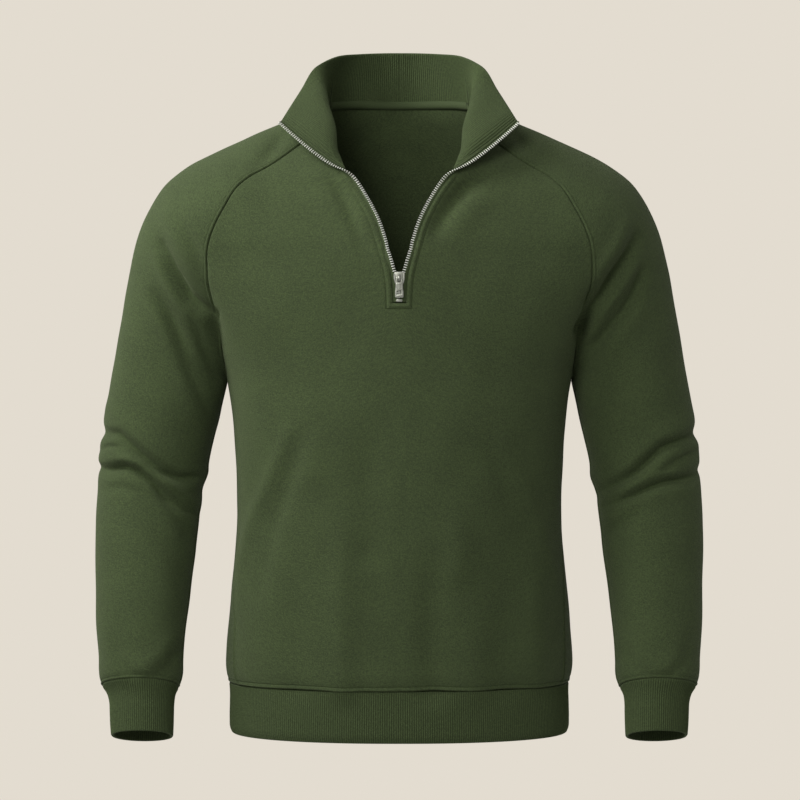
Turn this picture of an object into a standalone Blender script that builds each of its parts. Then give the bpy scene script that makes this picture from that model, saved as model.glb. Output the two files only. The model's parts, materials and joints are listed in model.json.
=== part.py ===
"""A quarter zip sweater with raglan sleeves, hollow and filled out as if worn, its zip open.

Run with: blender --background --python part.py
Sizes are in millimetres and become metres where a mesh is made. +X is the viewer's right, the chest
faces -Y and +Z is up. The origin lies in the neck opening, at the height where the collar starts.
"""

import bmesh
import bpy
import numpy as np

MM = 0.001
NAME = "quarter_zip_sweater"

# Walls and seams
FLEECE = 2.0  # thickness of the brushed jersey
RIB = 2.6  # thickness of the doubled rib of collar, cuffs and hem band
SEAM_GAP = 0.3  # between two pieces that are sewn together
HALF_GAP = 0.55  # share of the gap that each of the two draws back, with a little to spare
SHARP = 0.8  # cosine from a seam's shared normal at which a piece keeps its own
TAPE_THICK = 0.8
TAPE_GAP = 0.5  # from the cloth's cut edge to the zip tape

# Grid of the cloth
CAP_ROWS = (4, 7, 3)  # from the neck to the zip's top, to the slit's end and to the underarm
BODY_ROWS = 11  # from the underarm to the hem seam
HALF_SLEEVE = 8  # columns from the front seam to the outer line of the sleeve
HALF_FRONT = 9  # columns from the raglan seam to the slit
HALF_BACK = 8
COLLAR_ROWS = 6
BAND_ROWS = 3

# Raglan seam of the front, viewer's left: v runs from the neck (0) to the underarm (1)
FRONT_SEAM = {
    "v": (0.0, 0.09, 0.20, 0.29, 0.34, 0.41, 0.475, 0.533, 0.596, 0.65, 0.732, 0.823, 0.912, 1.0),
    "x": (84, 108, 138, 163, 174.8, 188, 198, 204.4, 206.6, 205.2, 200, 195.2, 191.8, 189.8),
    "y": (-28, -45, -60, -70, -76, -83, -86, -86, -82, -75, -60, -40, -17, 8),
    "z": (-5, -26, -48, -64, -75, -97, -117, -136, -158, -176, -201, -229, -256, -280),
}
BACK_SEAM = {
    "v": (0.0, 0.09, 0.20, 0.29, 0.41, 0.533, 0.65, 0.75, 0.85, 0.93, 1.0),
    "x": (80, 98, 126, 150, 177, 195, 203, 202, 197, 193, 189.8),
    "y": (50, 62, 75, 84, 94, 99, 95, 84, 62, 36, 8),
    "z": (25, 8, -16, -36, -70, -110, -152, -186, -223, -254, -280),
}
# Outer line of the shoulder and upper sleeve
SHOULDER = {
    "v": (0.0, 0.13, 0.325, 0.459, 0.526, 0.588, 0.648, 0.717, 0.799, 0.913, 1.0),
    "x": (88, 130.7, 194, 236, 254.8, 268, 278, 287.3, 294.8, 303.4, 309.5),
    "y": (8, 8, 8, 8, 8, 8, 8, 8, 8, 8, 8),
    "z": (18, 2, -26.2, -48.3, -63.2, -80.8, -99.5, -122, -152, -197, -232),
}
# Inner edge of the front: the neck seam, the zip's edge, then beside the middle of the chest
FRONT_EDGE = {
    "v": (0.0, 0.06, 0.12, 0.18, 0.22, 0.3, 0.38, 0.46, 0.54, 0.62, 0.68, 0.73, 0.77, 0.85, 1.0),
    "x": (84, 78.8, 72.5, 64.5, 57, 43.5, 33, 25, 18.5, 12.6, 9.2, 7.6, 7.1, 7.1, 7.1),
    "y": (-28, -44, -61, -79, -90, -99, -107, -113, -118, -121.3, -122, -122, -122, -122, -122),
    "z": (-5, -15.5, -27.5, -44, -59, -78.5, -97, -114, -134, -156, -171, -186, -200, -222, -276),
}
NECK_END = 0.22  # v at which the collar ends at the zip
SLIT_END = 0.77  # v at which the slit's bottom edge lies
BACK_MIDDLE = {
    "v": (0.0, 0.2, 0.4, 0.6, 0.8, 1.0),
    "y": (95, 103, 110, 115, 118, 118),
    "z": (30, -8, -52, -114, -190, -279),
}
# Direction of the front's rows where they leave the zip's edge
EDGE_LEAVES = {
    "v": (0.0, 0.1, 0.22, 0.4, 0.77, 1.0),
    "x": (0.95, 0.94, 0.95, 0.98, 1.0, 1.0),
    "y": (0.30, 0.30, 0.27, 0.20, 0.05, 0.03),
    "z": (-0.10, -0.12, 0.0, 0.06, 0.0, 0.0),
}
NECK_FADE = 0.3  # v down to which the back follows the neck's curve
CREASE_FROM = 0.55  # v from which the sleeve and the body part in a crease
CREASE_OPEN = 0.22  # how far the sleeve's side of the crease leans out at the underarm
BODY_OPEN = 0.08  # how far the body's side of it leans in
OPEN_Z = (-280, -350)  # heights between which that lean fades below the underarm
ROUND_V = (0.46, 0.78)  # v over which the body's rows turn from facing the sleeve to running round the side

# The body below the underarm: half width, and depth before and behind the middle
BODY = {
    "z": (-280, -291, -322, -371, -419, -460, -479, -514, -549, -585, -600, -612),
    "half": (189.8, 187.8, 183.5, 180, 178.5, 180, 181.5, 185, 188, 190.5, 190, 186.5),
    "front": (122, 121.5, 121, 119.5, 118, 117, 116.5, 116, 115.5, 115, 114.5, 112),
    "back": (118, 117, 115, 111, 109, 110, 111, 113, 114.5, 115, 114.5, 112),
}
# Side seam: its share of the way from the side to the middle of the front
SIDE_SEAM = {
    "z": (-280, -400, -460, -514, -549, -585, -667.5),
    "share": (0, 0, 0.09, 0.17, 0.205, 0.23, 0.23),
}
SIDE_Y = 6  # depth of the side seams
SQUARENESS = 0.60  # handle of a body row, where 0.55 is an ellipse
CHEST_SQUARE = 0.05  # added to it across the lower chest
CHEST_V = (0.55, 0.85)  # v over which it is added, above the underarm
CHEST_Z = (-440, -280)  # heights over which it is added, below the underarm
LONGEST_HANDLE = 400
ELBOW = (-322, -430)  # heights between which a sleeve's rings lie closest
SLEEVE_RINGS = (5, 12, 8)  # from the underarm to the elbow, along it and on to the cuff

# The sleeve below the underarm: middle, half width and depth, rise of its outer side, tilt in degrees
SLEEVE = {
    "z": (-256, -276, -300, -319, -340, -363, -385, -405, -428, -451, -478, -518, -550, -584, -603, -612),
    "x": (249.65, 252.6, 258.4, 262.2, 266.4, 270.2, 272.6, 274.8, 276.8, 278, 279, 280.2, 281.2, 280.4, 280, 280),
    "y": (8, 11, 13, 15, 15, 14, 12, 9, 4, -2, -9, -21, -31, -41, -47, -49),
    "half": (59.85, 60.6, 62.4, 63.0, 62, 60.5, 59.2, 57.8, 56.6, 55.4, 53.8, 50.6, 48.2, 45.6, 44.4, 41.4),
    "deep": (62, 64, 65.5, 65, 63.5, 62, 60, 58.5, 57, 55.5, 54, 51, 48.5, 46, 44.5, 41.5),
    "rise": (24, 14, 8, 3, 2, 1, 0, 0, 0, 0, 0, 0, 0, 0, 0, 0),
    "tilt": (0, 0, 0, 1, 2, 3, 5, 7, 9, 11, 13, 15, 16, 17, 17, 17),
}
CUFF = {
    "z": (-612, -619, -628, -640, -652, -665),
    "x": (280, 279.2, 278.4, 278.0, 277.7, 277.2),
    "y": (-49, -50.5, -52, -54.5, -57, -60),
    "half": (41.4, 37.0, 34.8, 34.2, 33.8, 33.0),
    "deep": (41.5, 37.5, 35.5, 35, 34.5, 33.5),
}
HEM = {
    "z": (-612, -620, -636, -652, -662, -667.5),
    "half": (186.5, 186, 186.2, 186.4, 185.8, 183.5),
    "front": (112, 112, 112.2, 112.4, 112, 110),
    "back": (112, 112, 112.2, 112.4, 112, 110),
}

# Neck seam of the back from the raglan seam, and the collar's ribs that stand on the whole seam
NECK_BACK = {
    "s": (0.0, 0.25, 0.5, 0.84, 1.0),
    "x": (80, 66, 46, 15, 0),
    "y": (50, 69, 82.5, 93.6, 95),
    "z": (25, 28, 29.5, 30, 30),
}
COLLAR = {  # q runs from the zip (0) to the middle of the back (1)
    "q": (0.0, 0.09, 0.18, 0.33, 0.49, 0.65, 0.83, 0.94, 1.0),
    "roll_x": (89, 71, 57, 65, 76, 77.5, 46, 16, 0),
    "roll_y": (-90, -94, -78, -50, -14, 42, 81, 92.5, 94),
    "roll_z": (-37, -32, -9, 28, 50, 54, 60, 61, 61),
    "top_x": (127, 122, 116, 106, 93, 72, 42.5, 14.5, 0),
    "top_y": (-66, -59, -49, -33, -12, 34, 75, 86.8, 88),
    "top_z": (-3, 6, 17, 35, 60.5, 79.5, 88, 90.3, 90.5),
}

# Zip
RIM = {  # inner rim of each tape below the V
    "z": (-140, -150, -158, -168, -175, -180, -200),
    "x": (14.4, 11.0, 8.6, 5.7, 3.3, 1.9, 1.8),
}
TAPE_OUT = 3.3  # how far a tape stands out of the cloth above
NECK_TAPE = (3.0, 5.5)  # how far it reaches below and above the neck seam
ZIP_Y = -122  # outer face of the chest around the slider
SLIDER_TOP = -167.5
SLIDER_LONG = 13.0
SLIDER_WIDE = 11.2
PLATE = 1.4
CROWN_WIDE = 2.8
PIVOT_DOWN = 6.4  # from the slider's top to the tab's axis
BAR = 1.3  # thickness of the tab's bar
TAB_WIDE = 8.4
TAB_LONG = 20.5
TAB_THICK = 1.2
STOP_UP = 1.4  # from the slit's end to the bottom stop
STOP_WIDE = 6.0
STOP_HIGH = 2.0
STOP_THICK = 1.5

# Folds: side (-1 is the viewer's left), face (-1 front, 1 back, 0 all round), depth (+ is a hollow), width, points x z
FOLDS = (
    (-1, -1, 6.0, 9.0, ((-330, -377), (-316, -378), (-299, -374), (-284, -379), (-269, -390), (-250, -409), (-222, -428))),
    (-1, -1, 6.0, 10.0, ((-328, -338), (-306, -338), (-290, -353), (-272, -369), (-257, -380), (-237, -387), (-212, -381))),
    (-1, -1, 4.5, 9.0, ((-262, -128), (-243, -166), (-229, -188), (-215, -202), (-199, -217))),
    (-1, -1, 4.0, 11.0, ((-258, -196), (-240, -232), (-227, -260), (-217, -282))),
    (-1, 0, 3.6, 8.0, ((-345, -337), (-322, -337))),
    (-1, 0, 2.2, 5.0, ((-348, -375), (-326, -376))),
    (-1, 0, 3.4, 7.0, ((-196, -401), (-216, -402))),
    (-1, 0, -2.6, 8.0, ((-196, -384), (-216, -384))),
    (1, 0, 4.2, 8.0, ((345, -337), (322, -338))),
    (1, 0, 1.8, 5.0, ((348, -379), (326, -379))),
    (1, 0, 2.6, 6.0, ((196, -409), (216, -409))),
    (1, 0, -3.4, 10.0, ((196, -388), (216, -388))),
    (-1, 1, 5.0, 11.0, ((-318, -392), (-290, -384), (-262, -388), (-232, -402))),
    (-1, 1, 4.5, 12.0, ((-300, -338), (-268, -352), (-236, -360))),
    (-1, 1, 4.5, 11.0, ((-266, -132), (-240, -176), (-216, -208), (-203, -222))),
    (1, -1, 6.0, 9.0, ((328, -340), (302, -346), (281, -352), (265, -368), (250, -381), (222, -396))),
    (1, -1, 5.5, 10.0, ((330, -379), (312, -386), (286, -389), (268, -395), (251, -403), (224, -412))),
    (1, -1, 4.5, 9.0, ((252, -128), (233, -153), (219, -178), (203, -199))),
    (1, -1, 4.0, 11.0, ((264, -168), (239, -195), (218, -224), (208, -262))),
    (1, 1, 5.0, 11.0, ((320, -378), (292, -370), (262, -376), (230, -392))),
    (1, 1, 4.5, 12.0, ((306, -330), (272, -342), (238, -352))),
    (1, 1, 4.5, 11.0, ((264, -136), (240, -172), (214, -206), (202, -224))),
)

FOLD_END = 0.12  # share of a half wave at which a fold starts and ends
FOLD_FACING = (-0.15, 0.45)  # how far a surface faces a fold's side, from no fold to a whole one
FOLDS_OUTSIDE = 150  # the body has no folds, and lies within this of the middle

COLOURS = {
    "fleece": (0.075, 0.125, 0.050, 1),
    "rib": (0.068, 0.115, 0.045, 1),
    "tape": (0.045, 0.075, 0.030, 1),
    "metal": (0.72, 0.74, 0.66, 1),
}


def through(places, values, at):
    """Smooth values at the given places, from a table's column over its places."""
    places = np.asarray(places, float)
    values = np.asarray(values, float)
    at = np.clip(np.asarray(at, float), places[0], places[-1])
    slope = np.gradient(values, places)
    cell = np.clip(np.searchsorted(places, at, side="right") - 1, 0, len(places) - 2)
    span = places[cell + 1] - places[cell]
    u = (at - places[cell]) / span
    start = values[cell] * (1 + 2 * u) * (1 - u) ** 2 + values[cell + 1] * u * u * (3 - 2 * u)
    return start + span * (slope[cell] * u * (1 - u) ** 2 + slope[cell + 1] * u * u * (u - 1))


def points_of(table, key, at, names=("x", "y", "z")):
    """Points of a table's x, y and z columns at the given places of its key column."""
    return np.stack([through(table[key], table[name], at) for name in names], axis=-1)


def unit(vectors):
    length = np.linalg.norm(vectors, axis=-1, keepdims=True)
    return vectors / np.maximum(length, 1e-9)


def smooth_step(x):
    x = np.clip(x, 0, 1)
    return x * x * (3 - 2 * x)


def rise_over(x, start, end):
    """0 before the start and 1 past the end, with a smooth rise between them."""
    return smooth_step((x - start) / (end - start))


def bezier(corners, t):
    """Cubic Bezier curves: four arrays of n points, read at each t, which each curve may have of its own."""
    a, b, c, d = (corner[:, None, :] for corner in corners)
    t = np.atleast_2d(t)[..., None]
    return a * (1 - t) ** 3 + 3 * b * t * (1 - t) ** 2 + 3 * c * t * t * (1 - t) + d * t ** 3


def round_arc(start, leaves, end, arrives, t):
    """Rows as near to arcs as a cubic gets, from start, along leaves, to end, along arrives."""
    chord = np.linalg.norm(end - start, axis=-1, keepdims=True)
    turn = np.arccos(np.clip((leaves * arrives).sum(-1, keepdims=True), -1, 1))
    half = np.maximum(turn / 2, 0.02)
    reach = chord * (2 / 3) * np.tan(half / 2) / np.sin(half)
    return bezier((start, start + leaves * reach, end - arrives * reach, end), t)


def affine_arc(start, leaves, end, arrives, t, square=SQUARENESS):
    """Rows whose handles reach a set part of the way to where their end tangents meet."""
    chord = end - start
    cosine = (leaves * arrives).sum(-1, keepdims=True)
    first = (chord * leaves).sum(-1, keepdims=True)
    last = (chord * arrives).sum(-1, keepdims=True)
    lower = np.maximum(1 - cosine ** 2, 0.02)
    reach_start = np.clip((first - cosine * last) / lower, 0, LONGEST_HANDLE)
    reach_end = np.clip((last - cosine * first) / lower, 0, LONGEST_HANDLE)
    quarter = np.clip(np.arccos(np.clip(cosine, -1, 1)) / (np.pi / 2), 0, 1)
    share = 2 / 3 + (square - 2 / 3) * quarter
    corners = (start, start + leaves * reach_start * share, end - arrives * reach_end * share, end)
    return bezier(corners, t)


class Cloth:
    """All cloth as one sheet of outer points, with each face marked by its piece."""

    def __init__(self):
        self.points = []
        self.faces = {}

    def add(self, point):
        self.points.append(np.asarray(point, float))
        return len(self.points) - 1

    def add_grid(self, grid):
        return np.array([[self.add(point) for point in row] for row in grid])

    def mark(self, piece, index, flip=False):
        """Faces of a grid of point numbers."""
        found = self.faces.setdefault(piece, [])
        for low, high in zip(index[:-1], index[1:]):
            for a, b, c, d in zip(low[:-1], low[1:], high[1:], high[:-1]):
                around = (a, b, c, d)
                corners = [n for k, n in enumerate(around) if n != around[k - 1]]
                if len(corners) > 2:
                    found.append(corners if flip else corners[::-1])


def mirrored(points, side):
    return points * np.array([side, 1.0, 1.0])


def cap_lines(v):
    """Seams, shoulder line and the directions of the rows at the seams, for x > 0."""
    front = points_of(FRONT_SEAM, "v", v)
    back = points_of(BACK_SEAM, "v", v)
    top = points_of(SHOULDER, "v", v)
    edge = points_of(FRONT_EDGE, "v", v)
    middle = np.stack([0 * v, through(BACK_MIDDLE["v"], BACK_MIDDLE["y"], v),
                       through(BACK_MIDDLE["v"], BACK_MIDDLE["z"], v)], axis=-1)
    apart = rise_over(v, CREASE_FROM, 1)[:, None]
    round_side = rise_over(v, *ROUND_V)[:, None]
    lean = np.array([CREASE_OPEN, 0.0, 0.0])
    body_lean = np.array([BODY_OPEN, 0.0, 0.0])
    lines = {"front": front, "back": back, "top": top, "edge": edge, "middle": middle}
    for name, inner, sign in (("front", edge, 1.0), ("back", middle, -1.0)):
        seam = lines[name]
        chord = unit(top - seam)
        at_top = np.array([0.0, sign, 0.0])
        mirror = unit(2 * (chord @ at_top)[:, None] * chord - at_top)
        across = unit(seam - inner)
        shared = unit(mirror + across)
        lines[name + "_sleeve"] = unit(shared * (1 - apart) + (mirror + lean) * apart)
        lines[name + "_body"] = unit(shared * (1 - round_side) + (at_top + body_lean * apart) * round_side)
    lines["edge_leaves"] = unit(points_of(EDGE_LEAVES, "v", v))
    return lines


def cap_rows(v, lines):
    """Rows of the front, the sleeve and the back above the underarm, for x > 0."""
    across_sleeve = np.linspace(0, 1, HALF_SLEEVE + 1)
    forward = np.array([0.0, 1.0, 0.0]) + 0 * lines["top"]
    sleeve_front = round_arc(lines["front"], lines["front_sleeve"], lines["top"], forward, across_sleeve)
    sleeve_back = round_arc(lines["back"], lines["back_sleeve"], lines["top"], -forward, across_sleeve)
    sleeve = np.concatenate([sleeve_front, sleeve_back[:, -2::-1]], axis=1)

    across_front = np.linspace(0, 1, HALF_FRONT + 1)
    square = SQUARENESS + CHEST_SQUARE * rise_over(v[:, None], *CHEST_V)
    front = affine_arc(lines["front"], -lines["front_body"], lines["edge"], -lines["edge_leaves"], across_front, square)
    fade = np.clip(1 - v / NECK_FADE, 0, 1) ** 2

    across_back = np.linspace(0, 1, HALF_BACK + 1)
    level = np.array([-1.0, 0.0, 0.0]) + 0 * lines["middle"]
    back = affine_arc(lines["back"], -lines["back_body"], lines["middle"], level, across_back)
    neck = points_of(NECK_BACK, "s", across_back)
    back += (neck - back[0])[None] * fade[:, None, None]
    return front, sleeve, back


def body_rows(table, z):
    """Rows of the body below the underarm, from the side seam to the middle of front and back, x > 0."""
    half, fore, aft = (through(-np.asarray(table["z"]), table[name], -z) for name in ("half", "front", "back"))
    side = np.stack([half, SIDE_Y + 0 * z, z], axis=-1)
    level = np.array([-1.0, 0.0, 0.0]) + 0 * side
    lean = BODY_OPEN * (1 - rise_over(z, *OPEN_Z))
    forward, backward = (unit(np.stack([-lean, sign + 0 * z, 0 * z], axis=-1)) for sign in (-1.0, 1.0))
    front_end = np.stack([FRONT_EDGE["x"][-1] + 0 * z, -fore, z], axis=-1)
    back_end = np.stack([0 * z, aft, z], axis=-1)
    seam = np.maximum(through(-np.asarray(SIDE_SEAM["z"]), SIDE_SEAM["share"], -z), 0)[:, None]
    front_t = seam + (1 - seam) * np.linspace(0, 1, HALF_FRONT + 1)
    back_t = (1 + seam) * np.linspace(0, 1, HALF_BACK + 1) - seam
    square = SQUARENESS + CHEST_SQUARE * rise_over(z[:, None], *CHEST_Z)
    front = affine_arc(side, forward, front_end, level, front_t, square)
    ahead = affine_arc(side, forward, front_end, level, np.clip(-back_t, 0, 1), square)
    back = affine_arc(side, backward, back_end, level, np.clip(back_t, 0, 1))
    return front, np.where(back_t[..., None] < 0, ahead, back)


def tube_rows(table, z, tilts):
    """Closed rings of a sleeve or cuff from its inner line round the front, for x > 0."""
    at = {name: through(-np.asarray(table["z"]), table[name], -z) for name in ("x", "y", "half", "deep")}
    rise = through(-np.asarray(table["z"]), table["rise"], -z) if "rise" in table else 0 * z
    middle = np.stack([at["x"], at["y"], z], axis=-1)
    out = np.stack([at["half"], 0 * z, rise], axis=-1)
    tilt = np.radians(tilts)
    fore = np.stack([0 * z, -np.cos(tilt), np.sin(tilt)], axis=-1)
    t = np.linspace(0, 1, HALF_SLEEVE + 1)
    handle = 4 / 3 * at["deep"][:, None]
    inner, outer = middle - out, middle + out
    front = bezier((inner, inner + fore * handle, outer + fore * handle, outer), t)
    back = bezier((inner, inner - fore * handle, outer - fore * handle, outer), t)
    return np.concatenate([front, back[:, -2::-1]], axis=1)


def lay_out():
    """The whole sheet of cloth, and the point numbers that other pieces need."""
    cloth = Cloth()
    stops = (0, NECK_END, SLIT_END, 1)
    spans = zip(stops[:-1], stops[1:], CAP_ROWS)
    v = np.concatenate([[0.0]] + [np.linspace(low, high, rows + 1)[1:] for low, high, rows in spans])
    neck_row, slit_row = CAP_ROWS[0], CAP_ROWS[0] + CAP_ROWS[1]
    lines = cap_lines(v)
    front, sleeve, back = cap_rows(v, lines)
    down = np.linspace(BODY["z"][0], BODY["z"][-1], BODY_ROWS + 1)[1:]
    body_front, body_back = body_rows(BODY, down)
    sleeve_z = sleeve_levels()
    sleeve_tilt = through(-np.asarray(SLEEVE["z"]), SLEEVE["tilt"], -sleeve_z)
    sleeve_rows = tube_rows(SLEEVE, sleeve_z, sleeve_tilt)
    cuff_z = np.linspace(CUFF["z"][0], CUFF["z"][-1], BAND_ROWS + 2)[1:]
    cuff_rows = tube_rows(CUFF, cuff_z, np.full(len(cuff_z), SLEEVE["tilt"][-1]))
    number = {}

    for side in (-1, 1):
        cap = cloth.add_grid(mirrored(sleeve, side))
        cap[-1, -1] = cap[-1, 0]
        tube = cloth.add_grid(mirrored(sleeve_rows, side))
        tube[:, -1] = tube[:, 0]
        number["cap", side] = cap
        name = "left" if side < 0 else "right"
        cloth.mark("sleeve_" + name, np.concatenate([cap, tube]), flip=side < 0)
        band = cloth.add_grid(mirrored(cuff_rows, side))
        band[:, -1] = band[:, 0]
        cloth.mark("cuff_" + name, np.concatenate([tube[-1:], band]), flip=side < 0)

        upper = cloth.add_grid(mirrored(front, side))
        upper[:, 0] = cap[:, 0]
        upper[0] = cap[0, 0]
        lower = cloth.add_grid(mirrored(body_front, side))
        number["front", side] = np.concatenate([upper, lower])
        cloth.mark("front_panel", number["front", side], flip=side > 0)

        upper = cloth.add_grid(mirrored(back, side))
        upper[:, 0] = cap[:, -1]
        if side > 0:
            upper[:, -1] = number["back", -1][: len(upper), -1]
        lower_back = cloth.add_grid(mirrored(body_back, side))
        lower_back[:, 0] = lower[:, 0]
        if side > 0:
            lower_back[:, -1] = number["back", -1][len(upper):, -1]
        number["back", side] = np.concatenate([upper, lower_back])
        cloth.mark("back_panel", number["back", side], flip=side < 0)

    below = slice(slit_row, None)
    left_edge, right_edge = (number["front", side][below, -1] for side in (-1, 1))
    middle = [cloth.add(p * np.array([0, 1, 1])) for p in (cloth.points[n] for n in left_edge)]
    cloth.mark("front_panel", np.stack([left_edge, middle, right_edge], axis=1))
    number["neck"], number["slit"] = neck_row, slit_row

    ring = list(number["front", -1][-1]) + [middle[-1]] + list(number["front", 1][-1][::-1])
    ring += list(number["back", 1][-1][1:]) + list(number["back", -1][-1][::-1][1:])
    band_z = np.linspace(HEM["z"][0], HEM["z"][-1], BAND_ROWS + 1)[1:]
    hem_front, hem_back = body_rows(HEM, band_z)
    centre = hem_front[:, -1:] * np.array([0.0, 1.0, 1.0])
    around = np.concatenate([
        mirrored(hem_front, -1), centre, hem_front[:, ::-1], hem_back[:, 1:], mirrored(hem_back, -1)[:, -2:0:-1],
    ], axis=1)
    band = cloth.add_grid(around)
    band = np.concatenate([band, band[:, :1]], axis=1)
    cloth.mark("hem_band", np.concatenate([np.array([ring]), band]))

    add_collar(cloth, number)
    return cloth, number


def sleeve_levels():
    """Heights of the sleeve's rings below the underarm, closest at the elbow."""
    stops = (SLEEVE["z"][0], *ELBOW, SLEEVE["z"][-1])
    spans = zip(stops[:-1], stops[1:], SLEEVE_RINGS)
    return np.concatenate([np.linspace(high, low, rings + 1)[1:] for high, low, rings in spans])


def add_collar(cloth, number):
    """Ribs that rise from the neck seam, roll outward at the front and end at the collar's top edge."""
    half = {}
    for side in (-1, 1):
        front = number["front", side][number["neck"]:0:-1, -1]
        half[side] = list(front) + list(number["cap", side][0]) + list(number["back", side][0][1:])
    seam = np.array([cloth.points[n] for n in half[1]])
    steps = np.linalg.norm(np.diff(seam, axis=0), axis=1)
    q = np.concatenate([[0], np.cumsum(steps)]) / steps.sum()
    roll = points_of(COLLAR, "q", q, ("roll_x", "roll_y", "roll_z"))
    top = points_of(COLLAR, "q", q, ("top_x", "top_y", "top_z"))
    t = np.linspace(0, 1, COLLAR_ROWS + 1)[1:, None, None]
    rows = seam * (1 - t) ** 2 + 2 * roll * t * (1 - t) + top * t * t
    left = cloth.add_grid(mirrored(rows, -1))
    right = cloth.add_grid(rows)
    right[:, -1] = left[:, -1]
    whole = np.concatenate([left, right[:, -2::-1]], axis=1)
    foot = np.array([half[-1] + half[1][-2::-1]])
    number["collar"] = np.concatenate([foot, whole])
    cloth.mark("collar", number["collar"])


def face_normal(corners):
    """Twice the area times the normal of a face of three or four points."""
    if len(corners) == 3:
        return np.cross(corners[1] - corners[0], corners[2] - corners[0])
    return np.cross(corners[2] - corners[0], corners[3] - corners[1])


def vertex_normals(points, faces, pieces):
    """Normals of the points, smooth across the seams between the given pieces."""
    normals = np.zeros_like(points)
    for piece in pieces:
        for corners in faces[piece]:
            normals[corners] += face_normal(points[corners])
    return unit(normals)


def fold_depth(points, normals):
    """How far the folds push each point in."""
    pushed = np.zeros(len(points))
    for side, face, depth, width, path in FOLDS:
        path = np.asarray(path, float)
        starts, ends = path[:-1], path[1:]
        run = ends - starts
        flat = points[:, None, [0, 2]]
        share = ((flat - starts) * run).sum(-1) / (run * run).sum(-1)
        near = starts + np.clip(share, 0, 1)[..., None] * run
        away = np.linalg.norm(flat - near, axis=-1)
        best = away.argmin(axis=1)
        distance = away[np.arange(len(points)), best]
        lengths = np.linalg.norm(run, axis=1)
        along = (np.concatenate([[0], np.cumsum(lengths)])[best]
                 + np.clip(share[np.arange(len(points)), best], 0, 1) * lengths[best]) / lengths.sum()
        taper = np.sin(np.pi * (FOLD_END + (1 - 2 * FOLD_END) * along))
        facing = rise_over(face * normals[:, 1], *FOLD_FACING) if face else 1.0
        same_side = points[:, 0] * side > FOLDS_OUTSIDE
        pushed += depth * np.exp(-((distance / width) ** 2)) * taper * facing * same_side
    return pushed


def wall(cloth, normals, piece, thick):
    """Closed wall of one piece: its outer points, and the same points moved in by its thickness."""
    faces = cloth.faces[piece]
    used = sorted({n for face in faces for n in face})
    place = {n: k for k, n in enumerate(used)}
    outer = cloth.outer[used]
    inward = normals[used]
    edges = {}
    for face in faces:
        for a, b in zip(face, face[1:] + face[:1]):
            edges[a, b] = face
    rim = [(a, b) for a, b in edges if (b, a) not in edges]

    shift = np.zeros_like(outer)
    for a, b in rim:
        direction = unit(outer[place[b]] - outer[place[a]])
        centre = outer[[place[n] for n in edges[a, b]]].mean(axis=0)
        for n in (a, b):
            k = place[n]
            toward = unit(centre - outer[k])
            toward = toward - direction * (toward @ direction)
            toward = toward - inward[k] * (toward @ inward[k])
            shift[k] += unit(toward)
    shared = [place[n] for n in used if cloth.owners[n] > 1 and np.abs(shift[place[n]]).sum() > 0]
    outer[shared] += unit(shift[shared]) * SEAM_GAP * HALF_GAP
    inner = outer - inward * thick

    count = len(used)
    mesh = bmesh.new()
    for point in np.concatenate([outer, inner]):
        mesh.verts.new(point * MM)
    mesh.verts.ensure_lookup_table()
    for face in faces:
        mesh.faces.new([mesh.verts[place[n]] for n in face])
        mesh.faces.new([mesh.verts[place[n] + count] for n in reversed(face)])
    for a, b in rim:
        mesh.faces.new([mesh.verts[k] for k in (place[b], place[a], place[a] + count, place[b] + count)])
    return mesh


def strip(rows):
    """Closed solid through sections of the same number of points, capped at both ends."""
    mesh = bmesh.new()
    made = [[mesh.verts.new(np.asarray(p) * MM) for p in row] for row in rows]
    for low, high in zip(made[:-1], made[1:]):
        for k in range(len(low)):
            mesh.faces.new([low[k - 1], low[k], high[k], high[k - 1]])
    mesh.faces.new(made[0][::-1])
    mesh.faces.new(made[-1])
    bmesh.ops.recalc_face_normals(mesh, faces=mesh.faces)
    return mesh


def add_object(name, mesh, colour, group, location=(0, 0, 0)):
    data = bpy.data.meshes.new(name)
    bmesh.ops.recalc_face_normals(mesh, faces=mesh.faces)
    mesh.to_mesh(data)
    mesh.free()
    data.materials.append(material(name, colour))
    made = bpy.data.objects.new(name, data)
    made.location = location
    group.objects.link(made)
    return made


def material(name, colour):
    """A piece's own material: brushed cloth, or bright metal for the zip's hard parts."""
    made = bpy.data.materials.new(name)
    made.use_nodes = True
    shader = made.node_tree.nodes["Principled BSDF"]
    shader.inputs["Base Color"].default_value = COLOURS[colour]
    shader.inputs["Roughness"].default_value = 0.3 if colour == "metal" else 0.9
    shader.inputs["Metallic"].default_value = 1.0 if colour == "metal" else 0.0
    return made


def zip_edge(cloth, number, side):
    """Cloth points down one side of the zip, from the collar's tip to the slit's end."""
    column = 0 if side < 0 else -1
    collar = number["collar"][:, column][::-1]
    front = number["front", side][number["neck"] + 1: number["slit"] + 1, -1]
    return np.concatenate([collar, front])


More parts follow.
